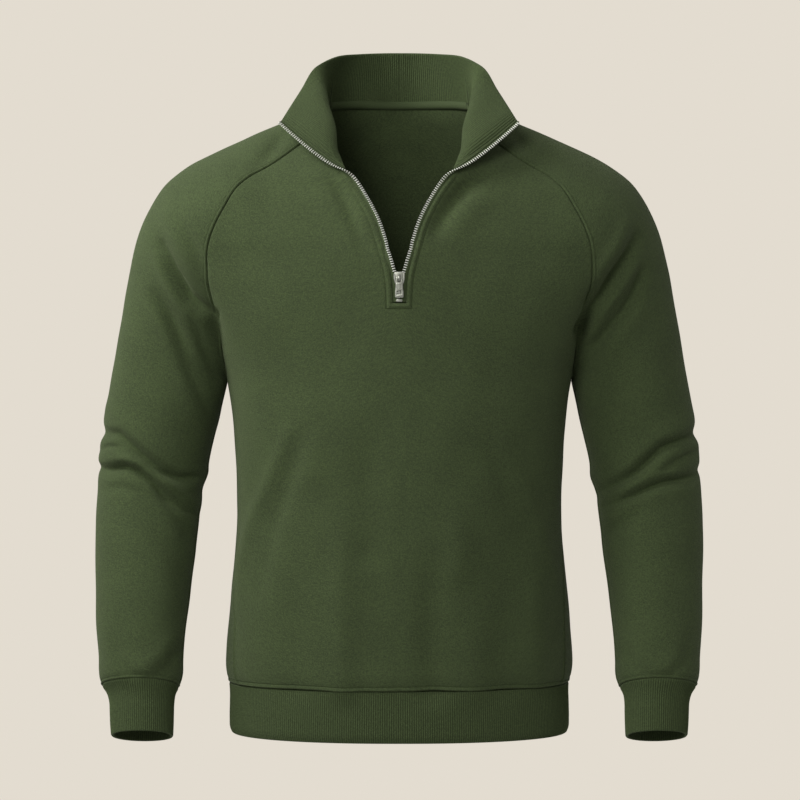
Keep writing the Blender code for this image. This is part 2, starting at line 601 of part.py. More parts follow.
def zip_tape(cloth, normals, collar_normals, number, side):
    """Tape beside the cut edge: sections across it from the collar's tip to the bottom of the slit."""
    edge = zip_edge(cloth, number, side)
    row = np.arange(len(edge)) - COLLAR_ROWS
    inward = np.where((row < 0)[:, None], collar_normals[edge] * RIB / 2, normals[edge] * FLEECE / 2)
    points = cloth.outer[edge] - inward * np.clip(abs(row), 0, 1)[:, None]
    flat = rise_over(points[:, 2], RIM["z"][0], RIM["z"][2])
    points[:, 1] += (ZIP_Y + FLEECE / 2 - points[:, 1]) * flat
    run = unit(np.gradient(points, axis=0))
    into = np.array([cloth.inside_of[n] for n in edge])
    away = unit(cloth.outer[edge] - cloth.outer[into])
    beside = cloth.outer[number["front", side][number["neck"] - 1, -1]]
    away[COLLAR_ROWS] += unit(cloth.outer[edge[COLLAR_ROWS]] - beside)
    away = unit(away)
    away[1:-1] = away[:-2] + 2 * away[1:-1] + away[2:]
    away = away * (1 - flat[:, None]) + np.array([-side, 0.0, 0.0]) * flat[:, None]
    away = unit(away - run * (away * run).sum(-1, keepdims=True))
    face = unit(np.cross(run, away))
    reach = np.full(len(edge), TAPE_OUT)
    low = points[:, 2] > RIM["z"][0]
    rim_x = through(-np.asarray(RIM["z"]), RIM["x"], -points[:, 2])
    reach = np.where(low, reach, abs(points[:, 0]) - rim_x)
    sections = []
    gap = TAPE_GAP * (1 + np.clip(2 - abs(row), 0, 1))
    for p, a, f, r, g in zip(points, away, face, reach, gap):
        half = f * TAPE_THICK / 2
        near, far = p + a * g, p + a * r
        sections.append((near - half, far - half, far + half, near + half))
    sections[-1] = [corner + np.array([0, 0, TAPE_GAP + 0.1]) for corner in sections[-1]]
    return strip(sections)


def box_mesh(low, high):
    mesh = bmesh.new()
    bmesh.ops.create_cube(mesh, size=1)
    low, high = np.asarray(low, float) * MM, np.asarray(high, float) * MM
    bmesh.ops.scale(mesh, vec=high - low, verts=mesh.verts)
    bmesh.ops.translate(mesh, vec=(low + high) / 2, verts=mesh.verts)
    return mesh


def outline_mesh(outline, y_low, y_high):
    """Plate of an x z outline between two depths."""
    rows = [[(x, y, z) for x, z in outline] for y in (y_low, y_high)]
    return strip(rows)


def join(base, others):
    """Boolean union of helper objects into the base object."""
    for other in others:
        union = base.modifiers.new("join_" + other.name, "BOOLEAN")
        union.operation = "UNION"
        union.object = other
        other.hide_render = True
        other.display_type = "WIRE"


def add_zip_parts(group, helpers):
    tape_front = ZIP_Y + FLEECE / 2 - TAPE_THICK / 2
    tape_back = tape_front + TAPE_THICK
    top, bottom = SLIDER_TOP, SLIDER_TOP - SLIDER_LONG
    wide, narrow = SLIDER_WIDE / 2, SLIDER_WIDE / 2 - 1.4
    outline = ((-wide + 1.2, top), (wide - 1.2, top), (wide, top - 2.2), (wide, top - 6.5),
               (narrow, bottom + 0.8), (narrow - 0.8, bottom), (-narrow + 0.8, bottom),
               (-narrow, bottom + 0.8), (-wide, top - 6.5), (-wide, top - 2.2))
    front = tape_front - SEAM_GAP
    back = tape_back + SEAM_GAP
    slider = add_object("zip_slider", outline_mesh(outline, front - PLATE, front), "metal", group)
    rear = add_object("slider_rear", outline_mesh(outline, back, back + PLATE), "metal", helpers)
    neck = add_object("slider_neck", box_mesh((-1.3, front - 0.6, top - 4.2), (1.3, back + 0.6, top - 0.4)),
                      "metal", helpers)
    pivot_z = top - PIVOT_DOWN
    pivot_y = front - PLATE - BAR / 2 - 0.4
    crown_out = pivot_y - BAR / 2 - 0.35
    crown = []
    for low, high in (((crown_out - 1.0, pivot_z - 2.9), (crown_out, pivot_z + 2.9)),
                      ((crown_out - 1.0, pivot_z + 1.4), (front - 0.5, pivot_z + 2.9)),
                      ((crown_out - 1.0, pivot_z - 2.9), (front - 0.5, pivot_z - 1.4))):
        half = CROWN_WIDE / 2
        crown.append(add_object(f"crown_{len(crown)}", box_mesh((-half, low[0], low[1]), (half, high[0], high[1])),
                                "metal", helpers))
    join(slider, [rear, neck] + crown)

    arm, eye = TAB_WIDE / 2, CROWN_WIDE / 2 + 0.5
    tab = add_object("pull_tab", box_mesh((-eye - 0.3, -BAR / 2, -BAR / 2), (eye + 0.3, BAR / 2, BAR / 2)),
                     "metal", group, (0, pivot_y * MM, pivot_z * MM))
    half = TAB_THICK / 2
    pieces = []
    for low, high in (((-arm + 0.9, BAR / 2), (-eye, -5.2)), ((eye, BAR / 2), (arm - 0.9, -5.2)),
                      ((-arm + 0.5, -5.0), (arm - 0.5, -12.5)), ((-arm, -12.3), (-2.6, -17.0)),
                      ((2.6, -12.3), (arm, -17.0)), ((-arm, -16.8), (arm, -TAB_LONG))):
        mesh = box_mesh((low[0], -half, high[1]), (high[0], half, low[1]))
        pieces.append(add_object(f"tab_{len(pieces)}", mesh, "metal", helpers, tab.location))
    join(tab, pieces)

    low = through(FRONT_EDGE["v"], FRONT_EDGE["z"], SLIT_END) + STOP_UP
    half = STOP_WIDE / 2
    stop = box_mesh((-half, front - STOP_THICK, low), (half, front, low + STOP_HIGH))
    add_object("zip_bottom_stop", stop, "metal", group)


def neck_tape(cloth, normals, collar_normals, number):
    """Strip over the back neck seam, inside."""
    rows = []
    back = [number["back", side] for side in (-1, 1)]
    foot = list(back[0][0]) + list(back[1][0][::-1][1:])
    below = list(back[0][1]) + list(back[1][1][::-1][1:])
    collar = number["collar"]
    start = number["neck"] + 2 * HALF_SLEEVE
    above = list(collar[1][start: start + len(foot)])
    for low, mid, high in zip(below, foot, above):
        seam = cloth.outer[mid]
        down = seam + unit(cloth.outer[low] - seam) * NECK_TAPE[0]
        up = seam + unit(cloth.outer[high] - seam) * NECK_TAPE[1]
        between = unit(normals[mid] + collar_normals[mid])
        miter = 1 / max(between @ collar_normals[mid], 0.5)
        lay = []
        for deep in (SEAM_GAP + 0.1, SEAM_GAP + 0.1 + TAPE_THICK):
            lay.append((down - normals[mid] * (FLEECE + deep), seam - between * (RIB + deep) * miter,
                        up - collar_normals[mid] * (RIB + deep)))
        rows.append(list(lay[0]) + list(lay[1][::-1]))
    return strip(rows)


def main():
    for old in list(bpy.data.objects):
        bpy.data.objects.remove(old)
    group = bpy.data.collections.new(NAME)
    helpers = bpy.data.collections.new("helpers")
    bpy.context.scene.collection.children.link(group)
    bpy.context.scene.collection.children.link(helpers)
    helpers.hide_render = True

    cloth, number = lay_out()
    points = np.array(cloth.points)
    body = [piece for piece in cloth.faces if piece != "collar"]
    normals = vertex_normals(points, cloth.faces, body)
    points = points - normals * fold_depth(points, normals)[:, None]
    normals = vertex_normals(points, cloth.faces, body)
    collar_normals = vertex_normals(points, cloth.faces, ["collar"])
    cloth.outer = points
    cloth.owners = np.zeros(len(points), int)
    for found in cloth.faces.values():
        cloth.owners[sorted({n for face in found for n in face})] += 1
    cloth.inside_of = {}
    for side in (-1, 1):
        for row in number["front", side][number["neck"]: number["slit"] + 1]:
            cloth.inside_of[row[-1]] = row[-2]
        column, beside = (0, 1) if side < 0 else (-1, -2)
        for row in number["collar"][1:]:
            cloth.inside_of[row[column]] = row[beside]

    for piece in cloth.faces:
        ribbed = piece in ("collar", "hem_band", "cuff_left", "cuff_right")
        own = vertex_normals(points, cloth.faces, [piece])
        agree = (own * normals).sum(axis=1, keepdims=True) > SHARP
        mesh = wall(cloth, np.where(agree, normals, own), piece, RIB if ribbed else FLEECE)
        made = add_object(piece, mesh, "rib" if ribbed else "fleece", group)
        made.data.shade_smooth()
    for side, name in ((-1, "zip_tape_left"), (1, "zip_tape_right")):
        add_object(name, zip_tape(cloth, normals, collar_normals, number, side), "tape", group)
    add_object("neck_tape", neck_tape(cloth, normals, collar_normals, number), "tape", group)
    add_zip_parts(group, helpers)


main()
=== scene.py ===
"""The dressed quarter zip sweater: fine cloth with its folds, seams, ribs and stitching, and the zip.

Sizes are in millimetres and become metres where a mesh is made. +X is the viewer's right, the chest
faces -Y and +Z is up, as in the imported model. Each piece stands for the solid of the same name.
"""

import json

import bmesh
import bpy
import mathutils
import numpy as np
from mathutils.kdtree import KDTree
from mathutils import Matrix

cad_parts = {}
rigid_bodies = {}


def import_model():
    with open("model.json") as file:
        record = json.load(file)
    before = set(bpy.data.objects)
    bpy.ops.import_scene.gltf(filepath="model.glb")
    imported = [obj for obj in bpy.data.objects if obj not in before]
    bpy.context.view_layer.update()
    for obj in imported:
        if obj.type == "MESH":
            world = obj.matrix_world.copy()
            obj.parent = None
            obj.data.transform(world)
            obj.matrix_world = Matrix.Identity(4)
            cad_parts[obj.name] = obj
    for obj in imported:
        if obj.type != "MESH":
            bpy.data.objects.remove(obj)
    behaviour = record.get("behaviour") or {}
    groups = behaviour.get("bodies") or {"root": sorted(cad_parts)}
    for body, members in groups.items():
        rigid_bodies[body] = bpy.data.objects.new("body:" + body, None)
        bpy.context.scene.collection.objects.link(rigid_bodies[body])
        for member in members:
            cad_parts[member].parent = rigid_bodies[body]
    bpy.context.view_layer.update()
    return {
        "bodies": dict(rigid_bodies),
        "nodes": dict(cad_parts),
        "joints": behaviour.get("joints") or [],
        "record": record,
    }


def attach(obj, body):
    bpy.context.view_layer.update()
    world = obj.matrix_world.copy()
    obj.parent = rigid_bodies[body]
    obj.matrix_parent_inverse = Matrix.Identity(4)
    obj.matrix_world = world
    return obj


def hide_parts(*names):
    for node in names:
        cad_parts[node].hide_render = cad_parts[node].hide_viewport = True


MM = 0.001
BODY = "sweater"
TAB = "tab"
SIDES = ((-1, "left"), (1, "right"))  # as the viewer sees them

# Walls and seams
FLEECE = 2.0
RIB = 2.6
SEAM_GAP = 0.3
TAPE_THICK = 0.8
SHARP = 0.8  # cosine from a seam's shared normal at which a piece keeps its own
ROUND_FLEECE = 0.45  # how far a cut edge is rounded
ROUND_RIB = 1.1
ROUND_SHARE = 0.6  # the most of an edge's faces that the rounding takes
LEAST_ROUND = 0.05
RIM_TURNS = (45, 90, 135)  # degrees round the rim where it has points

# Grid of the cloth
CAP_ROWS = (30, 54, 24)  # from the neck to the zip's top, to the slit's end and to the underarm
BODY_ROWS = 104
SLEEVE_ROWS = (22, 66, 52)  # from the underarm to above the elbow, to below it and to the cuff
SEAM_COLUMNS = (0.6, 1.2, 1.9, 2.6, 3.2, 3.7, 4.3, 5.4, 7.2)  # columns beside a seam
ZIP_COLUMNS = (0.6, 1.3, 2.1, 3.0, 4.0, 5.0, 5.6, 6.1, 6.6, 7.2, 8.3, 10.0)  # columns beside the zip
FINE_ROWS = (0.6, 1.2, 1.9, 2.7, 3.6, 4.2, 4.7, 5.2, 5.7, 6.2, 6.7, 7.3, 8.2, 9.4)  # rows beside a seam
FINE_CLEAR = 1.5  # no other row this close to the fine ones
SLIT_CLEAR = 0.005  # the same in v, below the slit
HALF_SLEEVE = 48
HALF_FRONT = 48
HALF_BACK = 52
MIDDLE_COLUMNS = 7  # across the front below the slit, both edges counted
SAMPLES = 600  # for measuring a row's length
LEAST_ROOM = 2.5  # a row shorter than this many widths of its close columns has them drawn in

# Rib knit
RIB_PITCH = 2.4
RIB_HEIGHT = 0.42
RIB_INSIDE = 0.8  # share of the height on a band's inside
RIB_COLUMNS = 4  # grid columns for each rib
RIB_FADE = 2.5  # how far from a seam the ribs reach their height
BAND_EDGE_FADE = 2.0
BAND_FOLLOWS = 30  # how far from its seam a band follows the cloth above
BAND_TOP, BAND_END = 2, 1.5  # height of a band's first and last rows
BAND_SAMPLES = 200
HEM_ROWS = 16
CUFF_ROWS = 15
ALLOWANCE = ((3.55, 3.5), (4.35, 3.5), (4.35, -2.5), (3.55, -2.5))  # inside the hem: inset and height

# Raglan seam of the front: v runs from the neck (0) to the underarm (1)
FRONT_SEAM = {
    "v": (0.0, 0.09, 0.20, 0.29, 0.34, 0.41, 0.475, 0.533, 0.596, 0.65, 0.732, 0.823, 0.912, 1.0),
    "x": (84, 108, 138, 163, 174.8, 188, 198, 204.4, 206.6, 205.2, 200, 195.2, 191.8, 189.8),
    "y": (-28, -45, -60, -70, -76, -83, -86, -86, -82, -75, -60, -40, -17, 8),
    "z": (-5, -26, -48, -64, -75, -97, -117, -136, -158, -176, -201, -229, -256, -280),
}
BACK_SEAM = {
    "v": (0.0, 0.09, 0.20, 0.29, 0.41, 0.533, 0.65, 0.75, 0.85, 0.93, 1.0),
    "x": (80, 98, 126, 150, 177, 195, 203, 202, 197, 193, 189.8),
    "y": (50, 62, 75, 84, 94, 99, 95, 84, 62, 36, 8),
    "z": (25, 8, -16, -36, -70, -110, -152, -186, -223, -254, -280),
}
SHOULDER = {
    "v": (0.0, 0.13, 0.325, 0.459, 0.526, 0.588, 0.648, 0.717, 0.799, 0.913, 1.0),
    "x": (88, 130.7, 194, 236, 254.8, 268, 278, 287.3, 294.8, 303.4, 309.5),
    "y": (8, 8, 8, 8, 8, 8, 8, 8, 8, 8, 8),
    "z": (18, 2, -26.2, -48.3, -63.2, -80.8, -99.5, -122, -152, -197, -232),
}
FRONT_EDGE = {
    "v": (0.0, 0.06, 0.12, 0.18, 0.22, 0.3, 0.38, 0.46, 0.54, 0.62, 0.68, 0.73, 0.77, 0.85, 1.0),
    "x": (84, 78.8, 72.5, 64.5, 57, 43.5, 33, 25, 18.5, 12.6, 9.2, 7.6, 7.1, 7.1, 7.1),
    "y": (-28, -44, -61, -79, -90, -99, -107, -113, -118, -121.3, -122, -122, -122, -122, -122),
    "z": (-5, -15.5, -27.5, -44, -59, -78.5, -97, -114, -134, -156, -171, -186, -200, -222, -276),
}
NECK_END = 0.22
SLIT_END = 0.77
SLIT_Z = FRONT_EDGE["z"][FRONT_EDGE["v"].index(SLIT_END)]
SLIT_ROW = 345  # millimetres down the chest for one v, below the slit
BACK_MIDDLE = {
    "v": (0.0, 0.2, 0.4, 0.6, 0.8, 1.0),
    "x": (0, 0, 0, 0, 0, 0),
    "y": (95, 103, 110, 115, 118, 118),
    "z": (30, -8, -52, -114, -190, -279),
}
EDGE_LEAVES = {
    "v": (0.0, 0.1, 0.22, 0.4, 0.77, 1.0),
    "x": (0.95, 0.94, 0.95, 0.98, 1.0, 1.0),
    "y": (0.30, 0.30, 0.27, 0.20, 0.05, 0.03),
    "z": (-0.10, -0.12, 0.0, 0.06, 0.0, 0.0),
}
NECK_BACK = {
    "s": (0.0, 0.25, 0.5, 0.84, 1.0),
    "x": (80, 66, 46, 15, 0),
    "y": (50, 69, 82.5, 93.6, 95),
    "z": (25, 28, 29.5, 30, 30),
}
NECK_BACK_DOWN = 0.3  # v at which the back no longer follows the neck's curve
ELBOW = (-322, -436)
CREASE_FROM = 0.55  # v from which sleeve and body part at the seam
ROUND_FROM, ROUND_TO = 0.46, 0.78  # v over which the body's rows turn to run straight back
CREASE_OPEN = 0.22
BODY_OPEN = 0.08
LEAN_Z, LEAN_HIGH = -350, 70  # above this height the side seam opens like a crease
SQUARENESS = 0.60  # how far a quarter turn is drawn out into its corner
CHEST_SQUARE = 0.05  # the chest's more square turn, over v on the yoke and over z below it
CHEST_FROM, CHEST_FULL = 0.55, 0.3
SQUARE_Z, SQUARE_HIGH = -440, 160
LONGEST_HANDLE = 400
LEAST_TURN = 0.02

# The joins between yoke and tubes: what relaxing keeps, the body's round carried up, and the easing
RELAX_ROUNDS = 160
RELAX_SHARES = (0.60, -0.62)  # of the way to the neighbours' middle, in turns
SHORTEST_EDGE = 0.2
KEEP_EDGE = 14
KEEP_UNDERARM = 30
FILL_DEEP = 7.0
FILL_FROM, FILL_FULL = 100, 60
FILL_SEAM = 25
FILL_Z, FILL_HIGH = -275, 95
EASE_ROWS = (18, 30)
EASE_FROM, EASE_FULL = 4, 24
EASE_ROUNDS = 120

BODY_SHAPE = {
    "z": (-280, -291, -322, -371, -419, -460, -479, -514, -549, -585, -600, -612),
    "half": (189.8, 187.8, 183.5, 180, 178.5, 180, 181.5, 185, 188, 190.5, 190, 186.5),
    "front": (122, 121.5, 121, 119.5, 118, 117, 116.5, 116, 115.5, 115, 114.5, 112),
    "back": (118, 117, 115, 111, 109, 110, 111, 113, 114.5, 115, 114.5, 112),
}
SIDE_SEAM = {
    "z": (-280, -400, -460, -514, -549, -585, -667.5),
    "share": (0, 0, 0.09, 0.17, 0.205, 0.23, 0.23),
}
SIDE_Y = 6

SLEEVE = {
    "z": (-256, -276, -300, -319, -340, -363, -385, -405, -428, -451, -478, -518, -550, -584, -603, -612),
    "x": (249.65, 252.6, 258.4, 262.2, 266.4, 270.2, 272.6, 274.8,
          276.8, 278, 279, 280.2, 281.2, 280.4, 280, 280),
    "y": (8, 11, 13, 15, 15, 14, 12, 9, 4, -2, -9, -21, -31, -41, -47, -49),
    "half": (59.85, 60.6, 62.4, 63.0, 62, 60.5, 59.2, 57.8, 56.6, 55.4, 53.8, 50.6, 48.2, 45.6, 44.4, 41.4),
    "deep": (57.6, 60, 63, 64, 63.2, 62, 60, 58.5, 57, 55.5, 54, 51, 48.5, 46, 44.5, 41.5),
    "rise": (24, 14, 8, 3, 2, 1, 0, 0, 0, 0, 0, 0, 0, 0, 0, 0),
    "tilt": (0, 0, 0, 1, 2, 3, 5, 7, 9, 11, 13, 15, 16, 17, 17, 17),
}
CUFF = {
    "z": (-612, -619, -628, -640, -652, -665),
    "x": (280, 279.2, 278.4, 278.0, 277.7, 277.2),
    "y": (-49, -50.5, -52, -54.5, -57, -60),
    "half": (41.4, 37.0, 34.8, 34.2, 33.8, 33.0),
    "deep": (41.5, 37.5, 35.5, 35, 34.5, 33.5),
}
HEM = {
    "z": (-612, -620, -636, -652, -662, -667.5),
    "half": (186.5, 186, 186.2, 186.4, 185.8, 183.5),
    "front": (112, 112, 112.2, 112.4, 112, 110),
    "back": (112, 112, 112.2, 112.4, 112, 110),
}
COLLAR = {
    "q": (0.0, 0.09, 0.18, 0.33, 0.49, 0.65, 0.83, 0.94, 1.0),
    "roll_x": (89, 71, 57, 65, 76, 77.5, 46, 16, 0),
    "roll_y": (-90, -94, -78, -50, -14, 42, 81, 92.5, 94),
    "roll_z": (-37, -32, -9, 28, 50, 54, 60, 61, 61),
    "top_x": (127, 122, 116, 106, 93, 72, 42.5, 14.5, 0),
    "top_y": (-66, -59, -49, -33, -12, 34, 75, 86.8, 88),
    "top_z": (-3, 6, 17, 35, 60.5, 79.5, 88, 90.3, 90.5),
}
COLLAR_ROWS = 26
COLLAR_EDGE = 0.965  # how far up the collar its last row but one lies
COLLAR_END = 0.02  # how far from the zip the collar's ribs reach their height
WING_SHARE, WING_FADE, WING_RIB = 0.66, 0.16, 0.3  # the wings' inner face has lower ribs, with their share
COLLAR_LINES = ((2.6, 0.95), (5.4, 0.8), (8.2, 0.65), (11.0, 0.5), (13.8, 0.3))  # from the zip's edge, depth
COLLAR_LINE = 0.75

# Folds of the sleeves: depth (+ is a hollow), width, and x z points with x counted away from the middle.
# First the ones that the solids have too, then the narrow creases and soft ridges that they leave out.
LEFT_FRONT = (
    (6.0, 8.0, (330, -377), (316, -378), (299, -374), (284, -379), (269, -390), (250, -409), (222, -428)),
    (6.0, 9.0, (328, -338), (306, -338), (290, -353), (272, -369), (257, -380), (237, -387), (212, -381)),
    (4.5, 9.0, (262, -128), (243, -166), (229, -188), (215, -202), (199, -217)),
    (4.0, 11.0, (258, -196), (240, -232), (227, -260), (217, -282)),
    (3.4, 3.4, (322, -338), (306, -340), (290, -354), (272, -370), (257, -381), (237, -388), (216, -386)),
    (3.2, 3.2, (330, -377), (316, -378), (299, -374), (284, -379), (269, -390), (250, -409), (222, -428)),
    (2.8, 3.2, (332, -359), (318, -353), (305, -353), (292, -362), (284, -370)),
    (-3.4, 4.6, (320, -330), (303, -332), (284, -346), (266, -362), (252, -373), (235, -380), (216, -379)),
    (-3.4, 4.6, (328, -370), (314, -370), (296, -367), (279, -371), (263, -382), (244, -400), (218, -419)),
    (2.4, 2.2, (326, -378), (312, -377), (296, -375), (280, -382), (264, -395), (246, -412)),
    (2.4, 2.2, (316, -339), (300, -347), (282, -361), (266, -375), (250, -384), (230, -388)),
    (-3.0, 6.5, (326, -348), (312, -347), (297, -358), (286, -372), (272, -382), (249, -394), (228, -398)),
    (-3.0, 7.0, (328, -366), (312, -364), (298, -366), (284, -372)),
    (-2.6, 8.0, (326, -307), (311, -315), (300, -326), (286, -334), (268, -350), (250, -366)),
    (-1.6, 8.0, (330, -391), (308, -388), (288, -392), (268, -404), (244, -426)),
    (1.8, 6.0, (324, -401), (300, -396), (280, -402), (262, -414)),
    (4.0, 6.0, (262, -400), (246, -420), (232, -440), (226, -462)),
    (5.0, 7.0, (240, -108), (228, -126), (218, -144), (210, -162)),
    (-2.4, 7.0, (252, -106), (240, -128), (229, -150), (220, -168)),
    (10.5, 5.5, (258, -134), (247, -163), (237, -180), (227, -194), (215, -203), (200, -210)),
    (-4.5, 6.5, (262, -148), (250, -174), (239, -194), (226, -210), (212, -220)),
    (4.8, 6.0, (266, -188), (252, -208), (240, -227), (229, -248)),
    (-2.6, 8.0, (274, -186), (262, -212), (250, -238), (240, -262)),
    (4.0, 6.5, (202, -212), (198, -226), (194, -242)),
    (3.0, 5.0, (224, -214), (214, -242), (206, -262), (200, -278)),
    (2.2, 5.0, (232, -262), (218, -292), (208, -316), (206, -338)),
    (-1.6, 8.0, (240, -268), (228, -300), (220, -330)),
    (1.6, 12.0, (262, -440), (240, -478), (232, -520)),
    (1.3, 14.0, (300, -520), (296, -560), (284, -600)),
    (4.0, 8.0, (232, -566), (246, -588), (262, -598)),
    (-1.4, 9.0, (236, -548), (256, -574), (282, -592)),
    (2.6, 6.0, (306, -560), (300, -582), (286, -596), (268, -600)),
)
RIGHT_FRONT = (
    (6.0, 8.0, (328, -340), (302, -346), (281, -352), (265, -368), (250, -381), (222, -396)),
    (5.5, 9.0, (330, -379), (312, -386), (286, -389), (268, -395), (251, -403), (224, -412)),
    (4.5, 9.0, (252, -128), (233, -153), (219, -178), (203, -199)),
    (4.0, 11.0, (264, -168), (239, -195), (218, -224), (208, -262)),
    (3.6, 3.6, (322, -340), (304, -347), (287, -353), (273, -366), (259, -379), (238, -391), (220, -402)),
    (3.2, 3.2, (330, -381), (318, -387), (293, -390), (279, -394), (262, -401), (245, -409), (223, -419)),
    (2.6, 3.4, (326, -358), (313, -363), (299, -369), (287, -378)),
    (-3.2, 4.6, (318, -331), (300, -339), (282, -346), (267, -359), (253, -372), (234, -384), (218, -393)),
    (-3.2, 4.6, (326, -373), (312, -380), (290, -382), (274, -387), (258, -394), (241, -402), (222, -411)),
    (2.4, 2.2, (322, -382), (306, -388), (286, -391), (270, -397), (254, -405), (236, -414)),
    (2.4, 2.2, (312, -344), (296, -350), (280, -359), (266, -372), (248, -386), (230, -396)),
    (-2.6, 6.5, (326, -352), (310, -354), (297, -360), (283, -372), (270, -384), (250, -398), (232, -406)),
    (-2.0, 7.0, (326, -370), (310, -375), (296, -382), (278, -388)),
    (-2.2, 9.0, (324, -318), (306, -328), (286, -338), (266, -354), (244, -372)),
    (-1.6, 8.0, (326, -398), (300, -400), (276, -406), (252, -418), (234, -428)),
    (4.0, 8.0, (262, -419), (244, -433), (228, -444), (220, -452)),
    (-5.5, 8.5, (246, -112), (234, -138), (220, -160), (206, -182)),
    (11.5, 6.0, (258, -128), (246, -151), (232, -173), (219, -193), (206, -208), (196, -228)),
    (-5.0, 6.5, (254, -158), (236, -187), (221, -209), (209, -232)),
    (8.5, 6.0, (264, -162), (256, -188), (242, -210), (225, -229), (210, -246)),
    (-2.4, 8.0, (272, -176), (262, -204), (246, -228), (230, -248)),
    (6.0, 7.0, (204, -210), (198, -226), (193, -246)),
    (-1.6, 9.0, (244, -206), (230, -236), (222, -268)),
    (2.0, 6.0, (228, -268), (216, -298), (208, -324)),
    (1.6, 12.0, (246, -446), (238, -486), (236, -540)),
    (1.3, 14.0, (300, -430), (304, -480), (298, -540)),
    (3.6, 8.0, (240, -566), (252, -588), (268, -598)),
    (2.4, 6.0, (312, -560), (306, -582), (290, -596), (272, -600)),
)
LEFT_BACK = (
    (5.0, 11.0, (318, -392), (290, -384), (262, -388), (232, -402)),
    (4.5, 12.0, (300, -338), (268, -352), (236, -360)),
    (4.5, 11.0, (266, -132), (240, -176), (216, -208), (203, -222)),
    (2.6, 4.0, (318, -392), (290, -384), (262, -388), (232, -402)),
    (2.2, 4.0, (300, -338), (268, -352), (236, -360)),
    (-2.0, 8.0, (312, -366), (284, -368), (250, -376)),
)
RIGHT_BACK = (
    (5.0, 11.0, (320, -378), (292, -370), (262, -376), (230, -392)),
    (4.5, 12.0, (306, -330), (272, -342), (238, -352)),
    (4.5, 11.0, (264, -136), (240, -172), (214, -206), (202, -224)),
    (2.6, 4.0, (320, -378), (292, -370), (262, -376), (230, -392)),
    (2.2, 4.0, (306, -330), (272, -342), (238, -352)),
    (-2.0, 8.0, (314, -352), (286, -356), (252, -366)),
)
LEFT_ROUND = (
    (3.6, 8.0, (345, -337), (322, -337)),
    (2.2, 5.0, (348, -375), (326, -376)),
    (3.4, 7.0, (196, -401), (216, -402)),
    (-2.6, 8.0, (196, -384), (216, -384)),
)
RIGHT_ROUND = (
    (4.2, 8.0, (345, -337), (322, -338)),
    (1.8, 5.0, (348, -379), (326, -379)),
    (2.6, 6.0, (196, -409), (216, -409)),
    (-3.4, 10.0, (196, -388), (216, -388)),
)
# By side, -1 for the viewer's left, and face, -1 in front, 1 behind and 0 all round
SLEEVE_FOLDS = {
    (-1, -1): LEFT_FRONT,
    (1, -1): RIGHT_FRONT,
    (-1, 1): LEFT_BACK,
    (1, 1): RIGHT_BACK,
    (-1, 0): LEFT_ROUND,
    (1, 0): RIGHT_ROUND,
}
# Folds of the body beside the collar and the zip, in the same way
LEFT_CHEST = (
    (4.2, 7.0, (74, -62), (62, -82), (53, -101), (46, -120), (38, -138)),
    (-1.8, 6.0, (60, -72), (49, -90), (40, -108), (33, -124)),
    (-1.6, 10.0, (92, -70), (80, -92), (68, -116)),
    (3.4, 8.0, (122, -8), (132, -22), (143, -38), (152, -50)),
    (-4.4, 8.0, (118, -335), (138, -385), (158, -430), (172, -480), (178, -530)),
    (3.6, 10.0, (98, -335), (116, -385), (137, -440), (152, -510)),
)
RIGHT_CHEST = (
    (8.5, 8.5, (92, -60), (73, -73), (59, -88), (48, -104), (40, -122)),
    (-2.2, 12.0, (108, -80), (86, -94), (70, -110), (58, -128)),
    (2.2, 8.0, (124, -8), (133, -22), (144, -38)),
    (-2.4, 8.0, (110, -345), (134, -395), (154, -445), (168, -500)),
    (2.0, 10.0, (92, -345), (113, -400), (136, -460)),
)
BODY_FOLDS = {(-1, -1): LEFT_CHEST, (1, -1): RIGHT_CHEST}
FOLD_END = 0.12  # share of a half wave that a fold leaves out at each end
FOLD_LEAN, FOLD_TURN = 0.15, 0.6  # how far the cloth faces front or back for a fold there
SLEEVE_INNER = 150

# Broad soft waves of the body: middle x, z from and to, width, height, face
DRAPES = (
    (-61, -400, -640, 15, 3.8, -1),
    (-31, -290, -490, 20, -3.4, -1),
    (-96, -270, -410, 18, 2.6, -1),
    (-110, -430, -640, 20, -2.4, -1),
    (35, -440, -640, 17, -4.2, -1),
    (62, -380, -510, 16, 3.0, -1),
    (80, -500, -640, 16, 1.6, -1),
    (112, -420, -640, 20, -3.2, -1),
    (148, -420, -630, 12, 2.6, -1),
    (-60, -420, -640, 28, 1.8, 1),
    (58, -380, -620, 26, -1.8, 1),
    (0, -40, -200, 40, 1.2, 1),
)
DRAPE_IN, DRAPE_OUT, DRAPE_TURN = 90, 30, 0.5

# Zip
RIM = {
    "z": (-140, -150, -158, -168, -175, -180, -200),
    "x": (14.4, 11.0, 8.6, 5.7, 3.3, 1.9, 1.8),
}
ZIP_Y = -122
ZIP_TURN = 26  # how far the zip turns over from the body's edge to the collar's
ZIP_STEP = 0.5  # between the places down the zip
